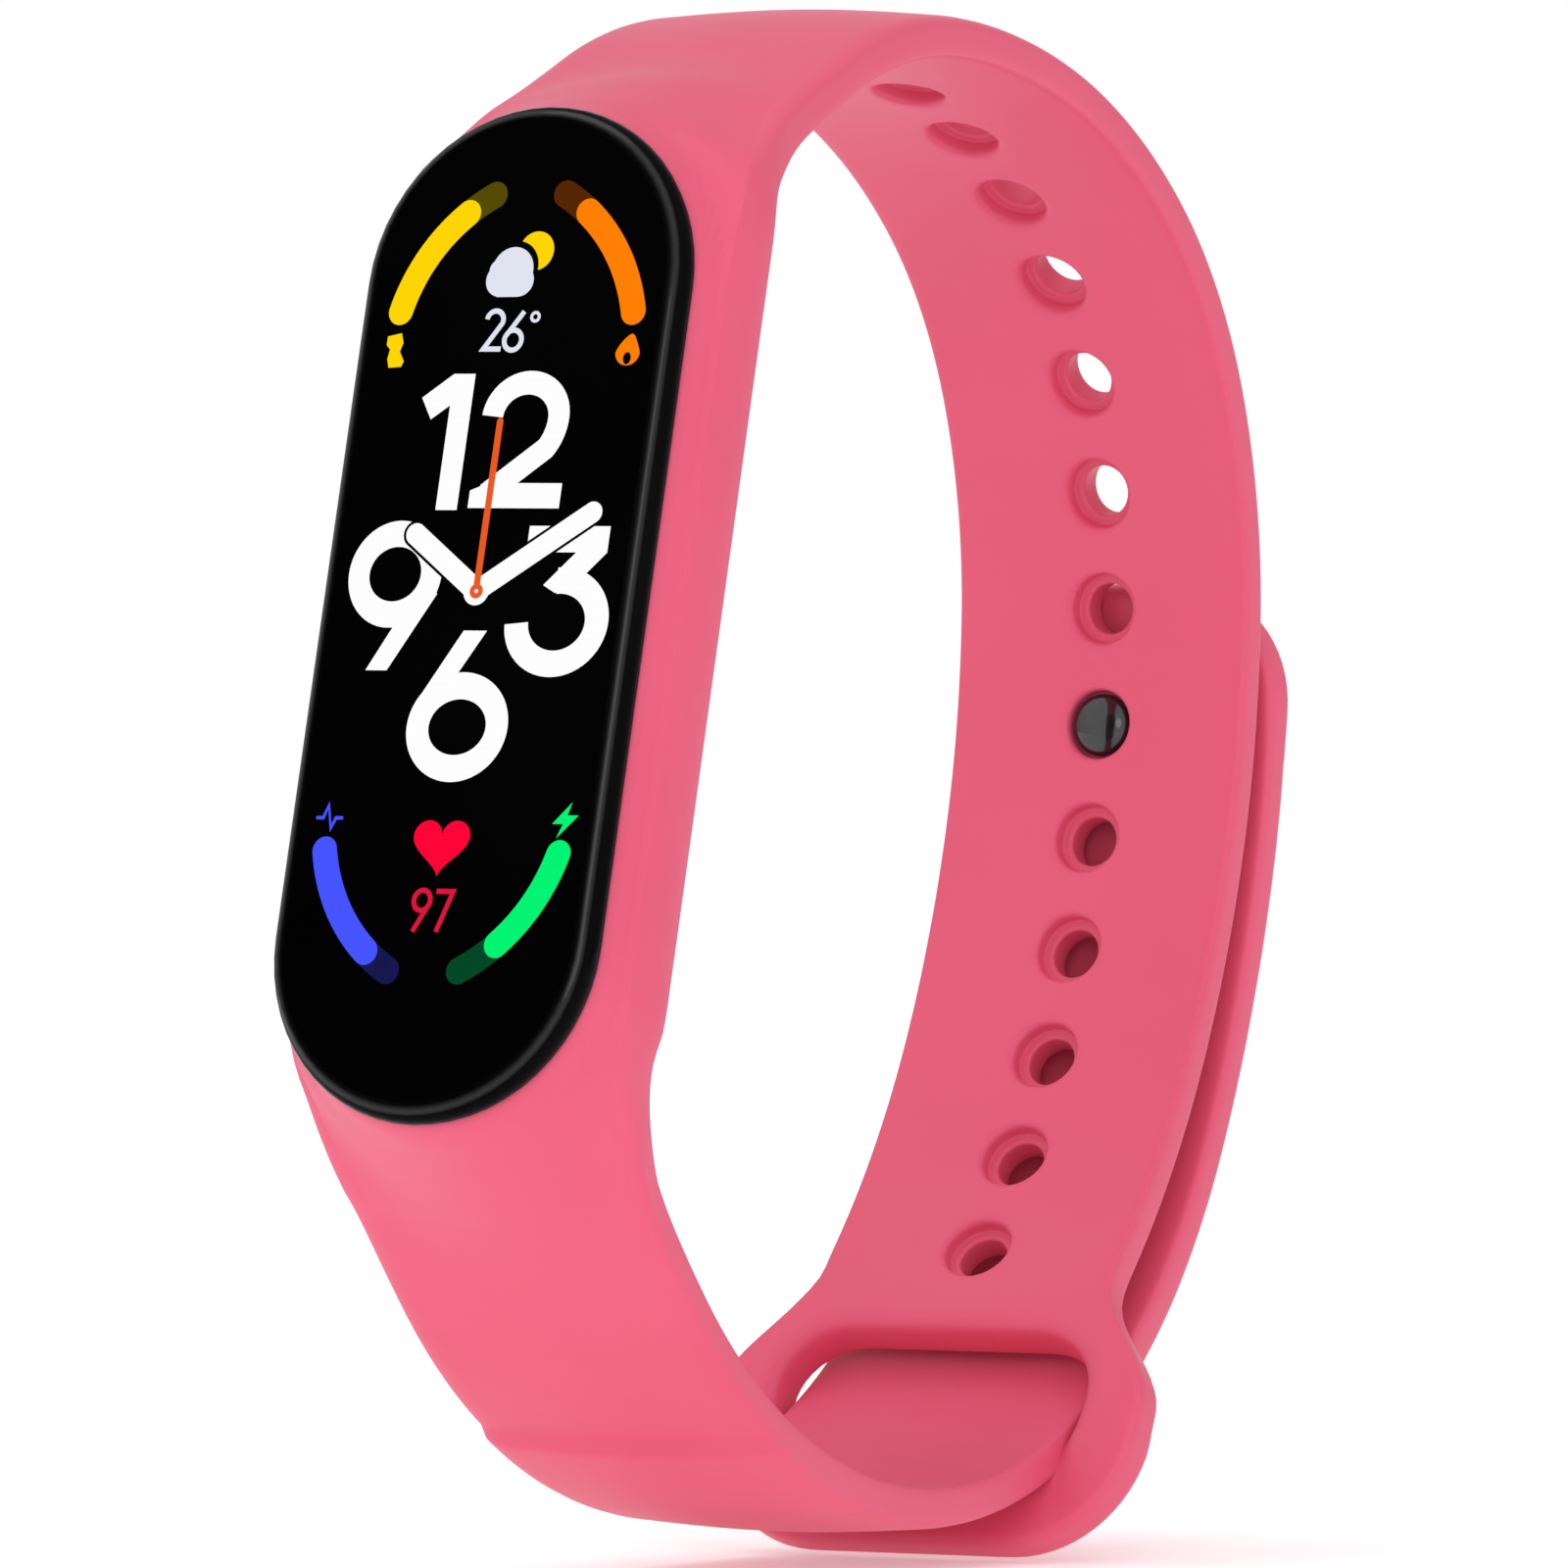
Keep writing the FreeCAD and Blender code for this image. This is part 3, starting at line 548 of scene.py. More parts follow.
def ring(mesh):
    """The loop at the upper strap's end: its rounded outside, its faces and its rolled opening."""
    right = [(float(half_width(RING_ZERO + u)), u) for u in np.linspace(HALF_PITCH, 8.0, 24)]
    right += arc(RING_HALF - RING_CORNER, RING_END - RING_CORNER, RING_CORNER, 0, 90)[1:]
    shape = outline(right, 0.6, [0, 8.7])
    t_of = lambda u: RING_ZERO + u
    cuts = (1.05, 1.05)
    outline_strip(mesh, shape, t_of, *cuts)
    top, low = OPENING_TOP_ROUND, OPENING_LOW_ROUND
    opening = [(0, OPENING_FROM)] + arc(OPENING_HALF - top, OPENING_FROM + top, top, -90, 0)
    opening += arc(OPENING_HALF - low, OPENING_TO - low, low, 0, 90)
    opening = resample(mirrored(opening)[:-1] + [(0, OPENING_FROM)], 0.1)[0]
    centre = np.array([0, 8.75])
    rel = opening - centre
    angle = np.arctan2(rel[:, 1], rel[:, 0])
    order = np.argsort(angle)
    angle, rel = angle[order], rel[order]
    angle3 = np.concatenate([angle - 2 * math.pi, angle, angle + 2 * math.pi])
    rel3 = np.concatenate([rel, rel, rel])
    loops = [inside_loop(shape, HALF_PITCH, RING_ROW, on_front, cuts) for on_front in (True, False)]
    away = loops[0] - centre
    a = np.arctan2(away[:, 1], away[:, 0])
    hit = np.stack([np.interp(a, angle3, rel3[:, 0]), np.interp(a, angle3, rel3[:, 1])], -1)
    lip = hit / np.linalg.norm(hit, axis=1)[:, None]
    edge = centre + hit
    tangent = np.roll(edge, -1, 0) - np.roll(edge, 1, 0)
    tangent /= np.linalg.norm(tangent, axis=1)[:, None]
    out = np.stack([tangent[:, 1], -tangent[:, 0]], -1)
    out = np.where(np.sum(out * lip, 1)[:, None] < 0, -out, out)
    front_roll, back_roll = 0.4, 1.1
    for on_front, loop in ((True, loops[0]), (False, loops[1])):
        start = edge + out * (front_roll if on_front else back_roll)
        rows = []
        for v in (0, 0.2, 0.4, 0.6, 0.8, 1):
            p = lerp(start, loop, v)
            m = outer(t_of(p[:, 1]), p[:, 0]) if on_front else np.zeros(len(p))
            rows.append(mesh.add(point(t_of(p[:, 1]), p[:, 0], m)))
        mesh.quads(rows, closed=True, flip=on_front)
    profile = [(front_roll, 1.0), (0.05, 1.0), (0, 0.85), (0, 0.45), (0.2, 0.0), (back_roll, 0.0)]
    rolled = edge + out * front_roll
    full = outer(t_of(rolled[:, 1]), rolled[:, 0])
    rows = []
    for d, share in spline(profile, 17):
        p = edge + out * d
        rows.append(mesh.add(point(t_of(p[:, 1]), p[:, 0], full * share)))
    mesh.quads(rows, closed=True)


def strap_rows(mesh, rows_t, keep=None):
    rows = []
    for t in rows_t:
        loop = section(t)
        rows.append(mesh.add(point(t, loop[:, 0], loop[:, 1])))
    mesh.quads(rows, closed=True, keep=keep)


def cap(mesh, t, flip):
    loop = section(t)
    ids = mesh.add(point(t, loop[:, 0], loop[:, 1]))
    mid = mesh.add(point(t, 0, 1.0))[0]
    mesh.fan(ids, mid, flip)


def pocket_wall(mesh, front, back):
    """The pocket's wall between the two faces, with a small rounding at each."""
    rows = []
    for (loop, away, anchor), steps in ((front, ((7.79, 0.03), (7.75, 0.12), (7.75, 0.8), (7.75, 2.0))),
                                        (back, ((7.75, -0.8), (7.76, -0.12), (7.79, -0.03)))):
        depth = to_module(np.concatenate(mesh.points)[loop])[:, 1]
        for r, dy in steps:
            p = np.stack([away[:, 0] * r, depth + dy, anchor + away[:, 1] * r], -1)
            rows.append(mesh.add(module_to_band(p)))
    mesh.quads([front[0]] + rows + [back[0]], closed=True, flip=True)


def make_strap(material):
    """The one soft moulding: lower strap, carrier, upper strap with its holes, and loop."""
    mesh = Mesh()
    join = TIP_AT - JOIN_AT
    holes_from = UPPER_ZERO + HOLE_FIRST - HALF_PITCH
    strap_rows(mesh, stations(join, ROW_LOW, 0.6) + [ROW_LOW])
    middle = carrier_rows()
    in_face = lambda i, j: not (j < FACE - 1 or FACE + SIDE <= j < 2 * FACE + SIDE - 1)
    strap_rows(mesh, middle, in_face)
    pocket_wall(mesh, carrier_face(mesh, middle, True), carrier_face(mesh, middle, False))
    strap_rows(mesh, stations(ROW_UP, holes_from, 0.6) + [holes_from])
    block = [holes_from + HOLE_PITCH * k / 8 for k in range(8 * HOLES + 1)]
    side = 6

    def outside_holes(i, j):
        on_front = side <= j < side + 8
        on_back = FACE + SIDE + side <= j < FACE + SIDE + side + 8
        return not (on_front or on_back)

    strap_rows(mesh, block, outside_holes)
    for index in range(HOLES):
        hole(mesh, index)
    ring(mesh)
    cap(mesh, join, True)
    return outward(mesh.build("silicone_strap", material, angle=65))


def make_tail(material):
    """The end of the lower strap: its rounded tip and as far as the join beyond the loop."""
    mesh = Mesh()
    join = TIP_AT - JOIN_AT
    tip_row, tip = 8.0, 5.5
    strap_rows(mesh, stations(tip_row, join, 0.6) + [join])
    cap(mesh, join, False)
    w = float(half_width(tip_row))
    shape = outline([(w, tip_row), (w, 7.0), (w, 6.2)] + arc(w - tip, tip, tip, 0, -90), 0.55, [0, 8.0])
    cuts = (0.95, 0.7)
    outline_strip(mesh, shape, lambda u: u, *cuts)
    for on_front in (True, False):
        loop = inside_loop(shape, tip_row, tip_row, on_front, cuts)
        place = lambda p: point(p[:, 1], p[:, 0], outer(p[:, 1], p[:, 0]) if on_front else 0 * p[:, 0])
        disc_levels(mesh, loop, np.array([0.0, 4.6]), place, on_front)
    return outward(mesh.build("tail_strap_skin", material, angle=65))


# ---- lathed pieces ----
def lathe(name, profile, centre, axis, material):
    """A turned piece: profile is (radius, height along axis) and starts or ends on the axis at radius 0."""
    axis = np.asarray(axis, float) / np.linalg.norm(axis)
    side = np.cross(axis, [1.0, 0.0, 0.0])
    side /= np.linalg.norm(side)
    other = np.cross(axis, side)
    mesh = Mesh()
    rows = []
    turn = np.linspace(0, 2 * math.pi, 72, endpoint=False)
    for r, h in profile:
        if r < 1e-6:
            rows.append(mesh.add([np.asarray(centre) + axis * h]))
            continue
        ring_points = np.asarray(centre) + axis * h + r * (
            np.cos(turn)[:, None] * side + np.sin(turn)[:, None] * other)
        rows.append(mesh.add(ring_points))
    for a, b in zip(rows[:-1], rows[1:]):
        if len(a) == 1:
            mesh.fan(b, a[0], True)
        elif len(b) == 1:
            mesh.fan(a, b[0])
        else:
            mesh.quads([a, b], closed=True)
    return outward(mesh.build(name, material, weld=0.001, angle=40))


def rounded(points, radius):
    """A polyline profile with each inner corner rounded."""
    points = [np.array(p, float) for p in points]
    out = [tuple(points[0])]
    for a, b, c in zip(points[:-2], points[1:-1], points[2:]):
        cut = min(radius, np.linalg.norm(a - b) * 0.45, np.linalg.norm(c - b) * 0.45)
        s = b + (a - b) / np.linalg.norm(a - b) * cut
        e = b + (c - b) / np.linalg.norm(c - b) * cut
        for f in np.linspace(0, 1, 5):
            out.append(tuple(s * (1 - f) ** 2 + 2 * b * f * (1 - f) + e * f * f))
    out.append(tuple(points[-1]))
    return out


# ---- stadium-shaped module pieces, in the module's own axes ----
def stadium_loop(r, y):
    n, m = 28, 34
    turn = np.linspace(0, math.pi, n + 1)
    top = [(r * math.cos(a), SPINE + r * math.sin(a)) for a in turn]
    left = [(-r, lerp(SPINE, -SPINE, k / m)) for k in range(1, m)]
    low = [(-r * math.cos(a), -SPINE - r * math.sin(a)) for a in turn]
    right = [(r, lerp(-SPINE, SPINE, k / m)) for k in range(1, m)]
    flat = np.array(top + left + low + right)
    return np.stack([flat[:, 0], np.full(len(flat), y), flat[:, 1]], -1)


def stadium_piece(name, profile, material, angle=50):
    """A closed loft of stadium outlines, each given as (half-width, depth)."""
    mesh = Mesh()
    rows = [mesh.add(module_to_band(stadium_loop(r, y))) for r, y in profile]
    mesh.quads(rows + [rows[0]], closed=True)
    return outward(mesh.build(name, material, weld=0.001, angle=angle))


# ---- materials ----
def srgb(r, g, b):
    out = []
    for v in (r, g, b):
        v = v / 255
        out.append(v / 12.92 if v <= 0.04045 else ((v + 0.055) / 1.055) ** 2.4)
    return tuple(out) + (1.0,)


class Nodes:
    def __init__(self, name):
        self.material = bpy.data.materials.new(name)
        self.material.use_nodes = True
        self.tree = self.material.node_tree
        self.shader = self.tree.nodes["Principled BSDF"]

    def new(self, kind, **inputs):
        node = self.tree.nodes.new(kind)
        for key, value in inputs.items():
            node.inputs[key.replace("_", " ")].default_value = value
        return node

    def link(self, a, b):
        self.tree.links.new(a, b)

    def place(self):
        return self.new("ShaderNodeTexCoord").outputs["Object"]

    def noise(self, scale, detail=3.0, rough=0.5):
        node = self.new("ShaderNodeTexNoise", Scale=scale, Detail=detail, Roughness=rough)
        self.link(self.place(), node.inputs["Vector"])
        return node.outputs["Fac"]

    def ramp(self, value, stops):
        node = self.tree.nodes.new("ShaderNodeValToRGB")
        ramp = node.color_ramp
        ramp.elements[0].position, ramp.elements[0].color = stops[0][0], stops[0][1]
        ramp.elements[1].position, ramp.elements[1].color = stops[-1][0], stops[-1][1]
        for at, colour in stops[1:-1]:
            ramp.elements.new(at).color = colour
        self.link(value, node.inputs["Fac"])
        return node.outputs["Color"]

    def span(self, value, low, high, start=0.0, end=1.0):
        node = self.new("ShaderNodeMapRange", From_Min=start, From_Max=end, To_Min=low, To_Max=high)
        self.link(value, node.inputs["Value"])
        return node.outputs["Result"]

    def bump(self, value, strength, distance, under=None):
        node = self.new("ShaderNodeBump", Strength=strength, Distance=distance)
        self.link(value, node.inputs["Height"])
        if under is not None:
            self.link(under, node.inputs["Normal"])
        return node.outputs["Normal"]

    def set(self, **values):
        for key, value in values.items():
            self.shader.inputs[key.replace("_", " ")].default_value = value


def finish_of(name, dark, light, rough=(0.4, 0.5), metal=0.0, coarse=400.0, fine=3000.0,
              bump=0.15, depth=0.00001, spec=0.5, coat=0.0, coat_rough=0.1, sheen=0.0):
    """A surface whose colour and roughness drift softly, with a fine grain."""
    n = Nodes(name)
    n.link(n.ramp(n.noise(coarse), [(0.3, dark), (0.7, light)]), n.shader.inputs["Base Color"])
    n.link(n.span(n.noise(coarse * 2.3, 4.0), *rough), n.shader.inputs["Roughness"])
    soft = n.bump(n.noise(coarse * 0.6, 2.0), bump, depth)
    n.link(n.bump(n.noise(fine, 3.0), bump, depth, soft), n.shader.inputs["Normal"])
    n.set(Metallic=metal, Specular_IOR_Level=spec, Coat_Weight=coat, Coat_Roughness=coat_rough,
          Sheen_Weight=sheen)
    return n


def silicone():
    """The strap's pink rubber, with a faint haze."""
    n = finish_of("silicone_pink", srgb(*PINK_DARK), srgb(*PINK_LIGHT), (0.42, 0.5), coarse=90.0,
                  fine=2600.0, bump=0.08, depth=0.00002, spec=0.35, sheen=0.04)
    n.set(Sheen_Roughness=0.5, Sheen_Tint=(1.0, 0.8, 0.85, 1.0))
    return n.material


def glass_edge():
    """The glass's rounded edge, which shines in one narrow band a little behind the front face."""
    n = finish_of("cover_glass_edge", (0.001, 0.001, 0.0012, 1), (0.003, 0.003, 0.0034, 1), (0.06, 0.1),
                  coarse=80.0, bump=0.01, depth=0.000002)
    depth = n.tree.nodes.new("ShaderNodeVectorMath")
    depth.operation = "DOT_PRODUCT"
    depth.inputs[1].default_value = (0, CT / MM, -ST / MM)
    n.link(n.place(), depth.inputs[0])
    front = MODULE_Y * CT - MODULE_Z * ST
    share = n.span(depth.outputs["Value"], 0.0, 1.0, front, front + GLASS_BACK)
    stops = [(0.0, 0.0), (0.03, 0.0), (0.12, 0.34), (0.17, 0.34), (0.27, 0.02), (1.0, 0.05)]
    n.link(n.ramp(share, [(a, (b, b, b, 1)) for a, b in stops]), n.shader.inputs["Specular IOR Level"])
    return n.material


def led_emitter():
    n = finish_of("led_emitter", srgb(80, 180, 90), srgb(150, 235, 140), (0.2, 0.35), coarse=1800.0, coat=0.6)
    n.set(Emission_Color=srgb(60, 220, 90), Emission_Strength=0.25)
    return n.material


def brushed(name, dark, light, rough, along):
    """Metal with a fine brushed grain; along is the noise's scale on each axis."""
    n = Nodes(name)
    stretch = n.tree.nodes.new("ShaderNodeMapping")
    stretch.inputs["Scale"].default_value = along
    n.link(n.place(), stretch.inputs["Vector"])
    grain = n.new("ShaderNodeTexNoise", Scale=1.0, Detail=4.0)
    n.link(stretch.outputs["Vector"], grain.inputs["Vector"])
    n.link(n.ramp(grain.outputs["Fac"], [(0.25, srgb(*dark)), (0.75, srgb(*light))]),
           n.shader.inputs["Base Color"])
    n.link(n.span(grain.outputs["Fac"], *rough), n.shader.inputs["Roughness"])
    n.link(n.bump(grain.outputs["Fac"], 0.2, 0.00001), n.shader.inputs["Normal"])
    n.set(Metallic=1.0)
    return n.material


def celled(name, dark, light, scale, rough):
    """A surface broken into small cells, such as copper fills on a board or dies on a chip."""
    n = Nodes(name)
    cells = n.new("ShaderNodeTexVoronoi", Scale=scale)
    cells.distance = "CHEBYCHEV"
    n.link(n.place(), cells.inputs["Vector"])
    n.link(n.ramp(cells.outputs["Distance"], [(0.2, dark), (0.42, light), (0.5, dark)]),
           n.shader.inputs["Base Color"])
    n.link(n.span(n.noise(scale * 0.7), *rough), n.shader.inputs["Roughness"])
    n.link(n.bump(cells.outputs["Distance"], 0.25, 0.00002), n.shader.inputs["Normal"])
    return n.material


def glow(name, colour):
    """A lit part of the display: its colour, with the faint grid of the panel's dots."""
    n = Nodes(name)
    dots = n.new("ShaderNodeTexVoronoi", Scale=16000.0, Randomness=0.0)
    n.link(n.place(), dots.inputs["Vector"])
    dim = tuple(c * 0.97 for c in colour[:3]) + (1.0,)
    lit = n.ramp(dots.outputs["Distance"], [(0.2, colour), (0.7, dim)])
    n.link(lit, n.shader.inputs["Emission Color"])
    n.link(n.ramp(dots.outputs["Distance"], [(0.2, (0, 0, 0, 1)), (0.7, (0.002, 0.002, 0.002, 1))]),
           n.shader.inputs["Base Color"])
    n.link(n.span(n.noise(300.0), 0.3, 0.34), n.shader.inputs["Roughness"])
    n.set(Emission_Strength=1.0, Specular_IOR_Level=0.0)
    return n.material


PINK_DARK, PINK_LIGHT = (222, 83, 115), (225, 87, 119)
SILICONE = silicone()
GLASS_FACE = finish_of("cover_glass_face", (0.0006, 0.0006, 0.0007, 1), (0.001, 0.001, 0.0012, 1),
                       (0.04, 0.07), coarse=60.0, bump=0.01, depth=0.000002, spec=0.0).material
GLASS_EDGE = glass_edge()
BODY_BLACK = finish_of("housing_black", (0.002, 0.002, 0.0022, 1), (0.0045, 0.0045, 0.005, 1), (0.28, 0.4),
                       coarse=300.0, fine=5000.0, bump=0.12, depth=0.000006, spec=0.15).material
COVER_BLACK = finish_of("back_cover_black", (0.006, 0.006, 0.0065, 1), (0.012, 0.012, 0.013, 1),
                        (0.3, 0.42), coarse=260.0, fine=6000.0, bump=0.2, depth=0.000008).material
STUD_BLACK = finish_of("stud_black", (0.004, 0.004, 0.0042, 1), (0.01, 0.01, 0.0105, 1), (0.1, 0.16),
                       coarse=500.0, bump=0.05, depth=0.000004, spec=0.55, coat=0.4,
                       coat_rough=0.05).material
WINDOW_GLASS = finish_of("sensor_window_glass", (0.004, 0.004, 0.005, 1), (0.008, 0.007, 0.01, 1),
                         (0.05, 0.09), coarse=200.0, bump=0.02, depth=0.000002, coat=0.8,
                         coat_rough=0.03).material
EVEN, ALONG_X, ALONG_Z, ALONG_Y = (900,) * 3, (4000, 120, 120), (160, 160, 5000), (200, 3500, 200)
GOLD = brushed("contact_gold", (196, 150, 70), (238, 204, 124), (0.18, 0.3), EVEN)
STEEL = brushed("can_steel", (160, 162, 166), (205, 206, 210), (0.22, 0.38), ALONG_X)
FRAME_METAL = brushed("frame_alloy", (140, 142, 146), (186, 187, 190), (0.3, 0.45), ALONG_Z)
WEIGHT_METAL = brushed("weight_tungsten", (92, 92, 96), (150, 150, 156), (0.25, 0.4), ALONG_Y)
SEAL = finish_of("seal_rubber", (0.010, 0.010, 0.011, 1), (0.025, 0.025, 0.027, 1), (0.55, 0.7),
                 coarse=900.0).material
FILM = finish_of("touch_film", (0.010, 0.012, 0.016, 1), (0.02, 0.024, 0.03, 1), (0.1, 0.2),
                 coarse=150.0).material
PANEL = celled("display_panel", (0.004, 0.004, 0.006, 1), (0.012, 0.012, 0.016, 1), 9000.0, (0.15, 0.25))
FLEX = celled("flex_polyimide", srgb(150, 84, 20), srgb(204, 132, 40), 2600.0, (0.35, 0.5))
POUCH = finish_of("battery_pouch", srgb(150, 153, 158), srgb(196, 198, 202), (0.3, 0.45), metal=0.9,
                  coarse=180.0, fine=1600.0, bump=0.5, depth=0.00003).material
BOARD = celled("board_green", srgb(14, 60, 34), srgb(34, 104, 60), 1500.0, (0.35, 0.5))
CHIP = finish_of("chip_epoxy", (0.012, 0.012, 0.013, 1), (0.03, 0.03, 0.032, 1), (0.5, 0.65),
                 coarse=1200.0, fine=7000.0, bump=0.3).material
LED = led_emitter()
DIODE = celled("photodiode", (0.006, 0.008, 0.02, 1), (0.03, 0.04, 0.09, 1), 5200.0, (0.12, 0.25))

# ---- build the pieces ----
strap = make_strap(SILICONE)
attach(strap, "strap")
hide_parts("carrier", "upper_strap", "ring_loop", "lower_strap")
tail = make_tail(SILICONE)
BEND_FROM, BEND_TO = 54.5, 61.0
blend_a, blend_b = point(TIP_AT - BEND_FROM, 0, 1.0) * MM, point(TIP_AT - BEND_TO, 0, 1.0) * MM
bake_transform(tail)
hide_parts("tail_strap")

# the stud: its place is the eighth hole, and its cap lies on the tail's outer face there
stud_t = UPPER_ZERO + HOLE_FIRST + HOLE_PITCH * STUD_HOLE
stud_at = point(stud_t, 0, 0.0)
stud_out = point(stud_t, 0, 1.0) - stud_at
tail_t = np.linspace(2, 14, 500)
skin = point(tail_t, 0, outer(tail_t, 0 * tail_t)) - stud_at
along = skin @ stud_out
aside = np.linalg.norm(skin - along[:, None] * stud_out, axis=1)
reach = float(along[np.argmin(aside)])

SHANK, HEAD, HEAD_RISE, HEAD_AT = 1.02, 1.47, 0.62, 0.5
head = [(SHANK, 1.6), (SHANK, 0.76), (1.45, 0.76), (HEAD, HEAD_AT)]
ball = [(HEAD * math.cos(a), HEAD_AT - HEAD_RISE * math.sin(a)) for a in np.radians(np.linspace(6, 90, 14))]
ball[-1] = (0.0, HEAD_AT - HEAD_RISE)
pin = lathe("stud_pin_turned", [(0, reach - 0.5), (SHANK, reach - 0.5)] + rounded(head, 0.06)[1:] + ball,
            stud_at, stud_out, STUD_BLACK)
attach(pin, "tail")
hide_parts("stud_pin")
cap_profile = [(0, -0.8)] + rounded([(0, -0.8), (3.0, -0.8), (3.0, 0.2), (2.6, 0.3)], 0.2)[1:]
cap_profile += [(2.2, 0.32), (2.0, 0.24), (1.7, 0.22), (1.0, 0.24), (0.0, 0.25)]
cap_piece = lathe("stud_cap_turned", cap_profile, stud_at + stud_out * reach, stud_out, STUD_BLACK)
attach(cap_piece, "tail")
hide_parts("stud_cap")


def rounding(r, y, wide, deep, count):
    """A quarter round from (r, y) inwards by wide and on by deep, as (half-width, depth)."""
    angles = np.radians(np.linspace(0, 90, count))
    return [(r - wide * (1 - math.cos(a)), y + deep * math.sin(a)) for a in angles]


# ---- the module's shells ----
edge = rounding(GLASS_HALF, GLASS_ROUND, GLASS_ROUND, -GLASS_ROUND, 15)[::-1]
glass_profile = [(0.02, 0), (1.5, 0), (3.0, 0), (4.5, 0), (6.0, 0), (6.8, 0)] + edge
glass_profile += [(GLASS_HALF, 0.96), (8.2, GLASS_BACK)] + [(r, GLASS_BACK) for r in (7.4, 4.0, 0.02)]
glass = stadium_piece("cover_glass_lens", glass_profile, [GLASS_FACE, GLASS_EDGE], angle=60)
for poly in glass.data.polygons:
    middle = poly.center / MM
    depth = (middle.y - MODULE_Y) * CT - (middle.z - MODULE_Z) * ST
    poly.material_index = 0 if depth < 0.004 else 1
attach(glass, "module")
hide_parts("cover_glass")

tub = [(6.75, 1.1), (8.12, 1.1), (8.15, 1.3), (7.7, 1.36), (BODY_HALF, 1.6), (BODY_HALF, HOUSING_BACK - 0.02),
       (6.75, HOUSING_BACK)]
housing = stadium_piece("housing_tub", rounded(tub, 0.05), BODY_BLACK)
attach(housing, "module")
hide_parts("module_housing")

cover_profile = [(7.6, COVER_FRONT)] + rounding(BODY_HALF, COVER_FRONT, 1.5, COVER_BACK - COVER_FRONT, 12)
cover_profile += [(5.9, COVER_BACK)]


def level(p, y):
    """Flat (x, z) points of the module's axes at depth y, in the band's frame."""
    return module_to_band(np.stack([p[:, 0], np.full(len(p), y), p[:, 1]], -1))


def back_plate():
    """The back cover: a rounded plate with a round hole for the window."""
    mesh = Mesh()
    rows = [mesh.add(module_to_band(stadium_loop(r, y))) for r, y in cover_profile]
    flat = stadium_loop(*cover_profile[-1])[:, [0, 2]]
    turn = np.arctan2(flat[:, 1], flat[:, 0])
    circle = np.stack([np.cos(turn), np.sin(turn)], -1)
    for v in (0.25, 0.5, 0.75, 1.0):
        rows.append(mesh.add(level(lerp(flat, circle * 5.28, v), COVER_BACK)))
    for r, y in ((5.2, 8.97), (5.15, 8.9), (5.15, COVER_FRONT)):
        rows.append(mesh.add(level(circle * r, y)))
    mesh.quads(rows + [rows[0]], closed=True)
    return outward(mesh.build("back_cover_plate", COVER_BLACK, weld=0.001, angle=50))


plate = back_plate()
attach(plate, "module")
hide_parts("back_cover")
inwards = module_to_band([0, 1, 0]) - module_to_band([0, 0, 0])
window_edge = rounding(WINDOW_RADIUS, WINDOW_BACK - WINDOW_EDGE, WINDOW_EDGE, WINDOW_EDGE, 10)
window_dome = [(4.4, 9.615), (3.6, 9.64), (2.4, 9.665), (1.2, 9.68), (0, 9.685)]
window_foot = [(0, 8.4), (4.6, 8.4), (5.06, 8.44), (WINDOW_RADIUS, 8.5)]
lens = lathe("sensor_lens", window_foot + window_edge + window_dome,
             module_to_band([0, 0, 0]), inwards, WINDOW_GLASS)
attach(lens, "module")
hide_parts("sensor_window")


def stadium_patch(name, half, long, x, z, depth, material):
    """A small rounded pad on the module's back, at (x, z)."""
    mesh = Mesh()
    turn = np.linspace(0, 2 * math.pi, 48, endpoint=False)
    stretch = np.where(np.sin(turn) > 0, 1, -1) * max(0, long - half)
    foot, top = depth - 0.05, depth + 0.012
    rows = []
    for r, y in ((half, foot), (half, depth + 0.006), (half - 0.02, top), (half * 0.5, top)):
        rows.append(mesh.add(level(np.stack([x + r * np.cos(turn), z + r * np.sin(turn) + stretch], -1), y)))
    mesh.quads(rows, closed=True)
    mesh.fan(rows[-1], mesh.add(module_to_band([[x, top, z]]))[0])
    mesh.fan(rows[0], mesh.add(module_to_band([[x, foot, z]]))[0], True)
    return outward(mesh.build(name, material, weld=0.0005, angle=45))


marks = []
for i, z in enumerate((0.8, -0.8)):
    marks.append(stadium_patch("led_port_%d" % i, 0.5, 0.5, 0, z, 9.67, LED))
for i, x in enumerate((-2.7, 2.7)):
    marks.append(stadium_patch("diode_port_%d" % i, 0.8, 1.3, x, 0, 9.645, DIODE))
for m in marks:
    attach(m, "module")
pins = []
pin_profile = rounded([(0, 7.2), (1.1, 7.2), (1.1, 9.08), (0, 9.08)], 0.08)
seal_profile = rounded([(0, 8.4), (1.45, 8.4), (1.45, 9.04), (1.1, 9.04)], 0.06) + [(0, 9.03)]
for i, x in enumerate((-CONTACT_X, CONTACT_X)):
    at = module_to_band([x, 0, CONTACT_Z])
    pins.append(lathe("contact_pin_%d" % i, pin_profile, at, inwards, GOLD))
    pins.append(lathe("contact_ring_%d" % i, seal_profile, at, inwards, SEAL))
for p in pins:
    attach(p, "module")
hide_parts("charge_contacts")
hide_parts("contact_seals")

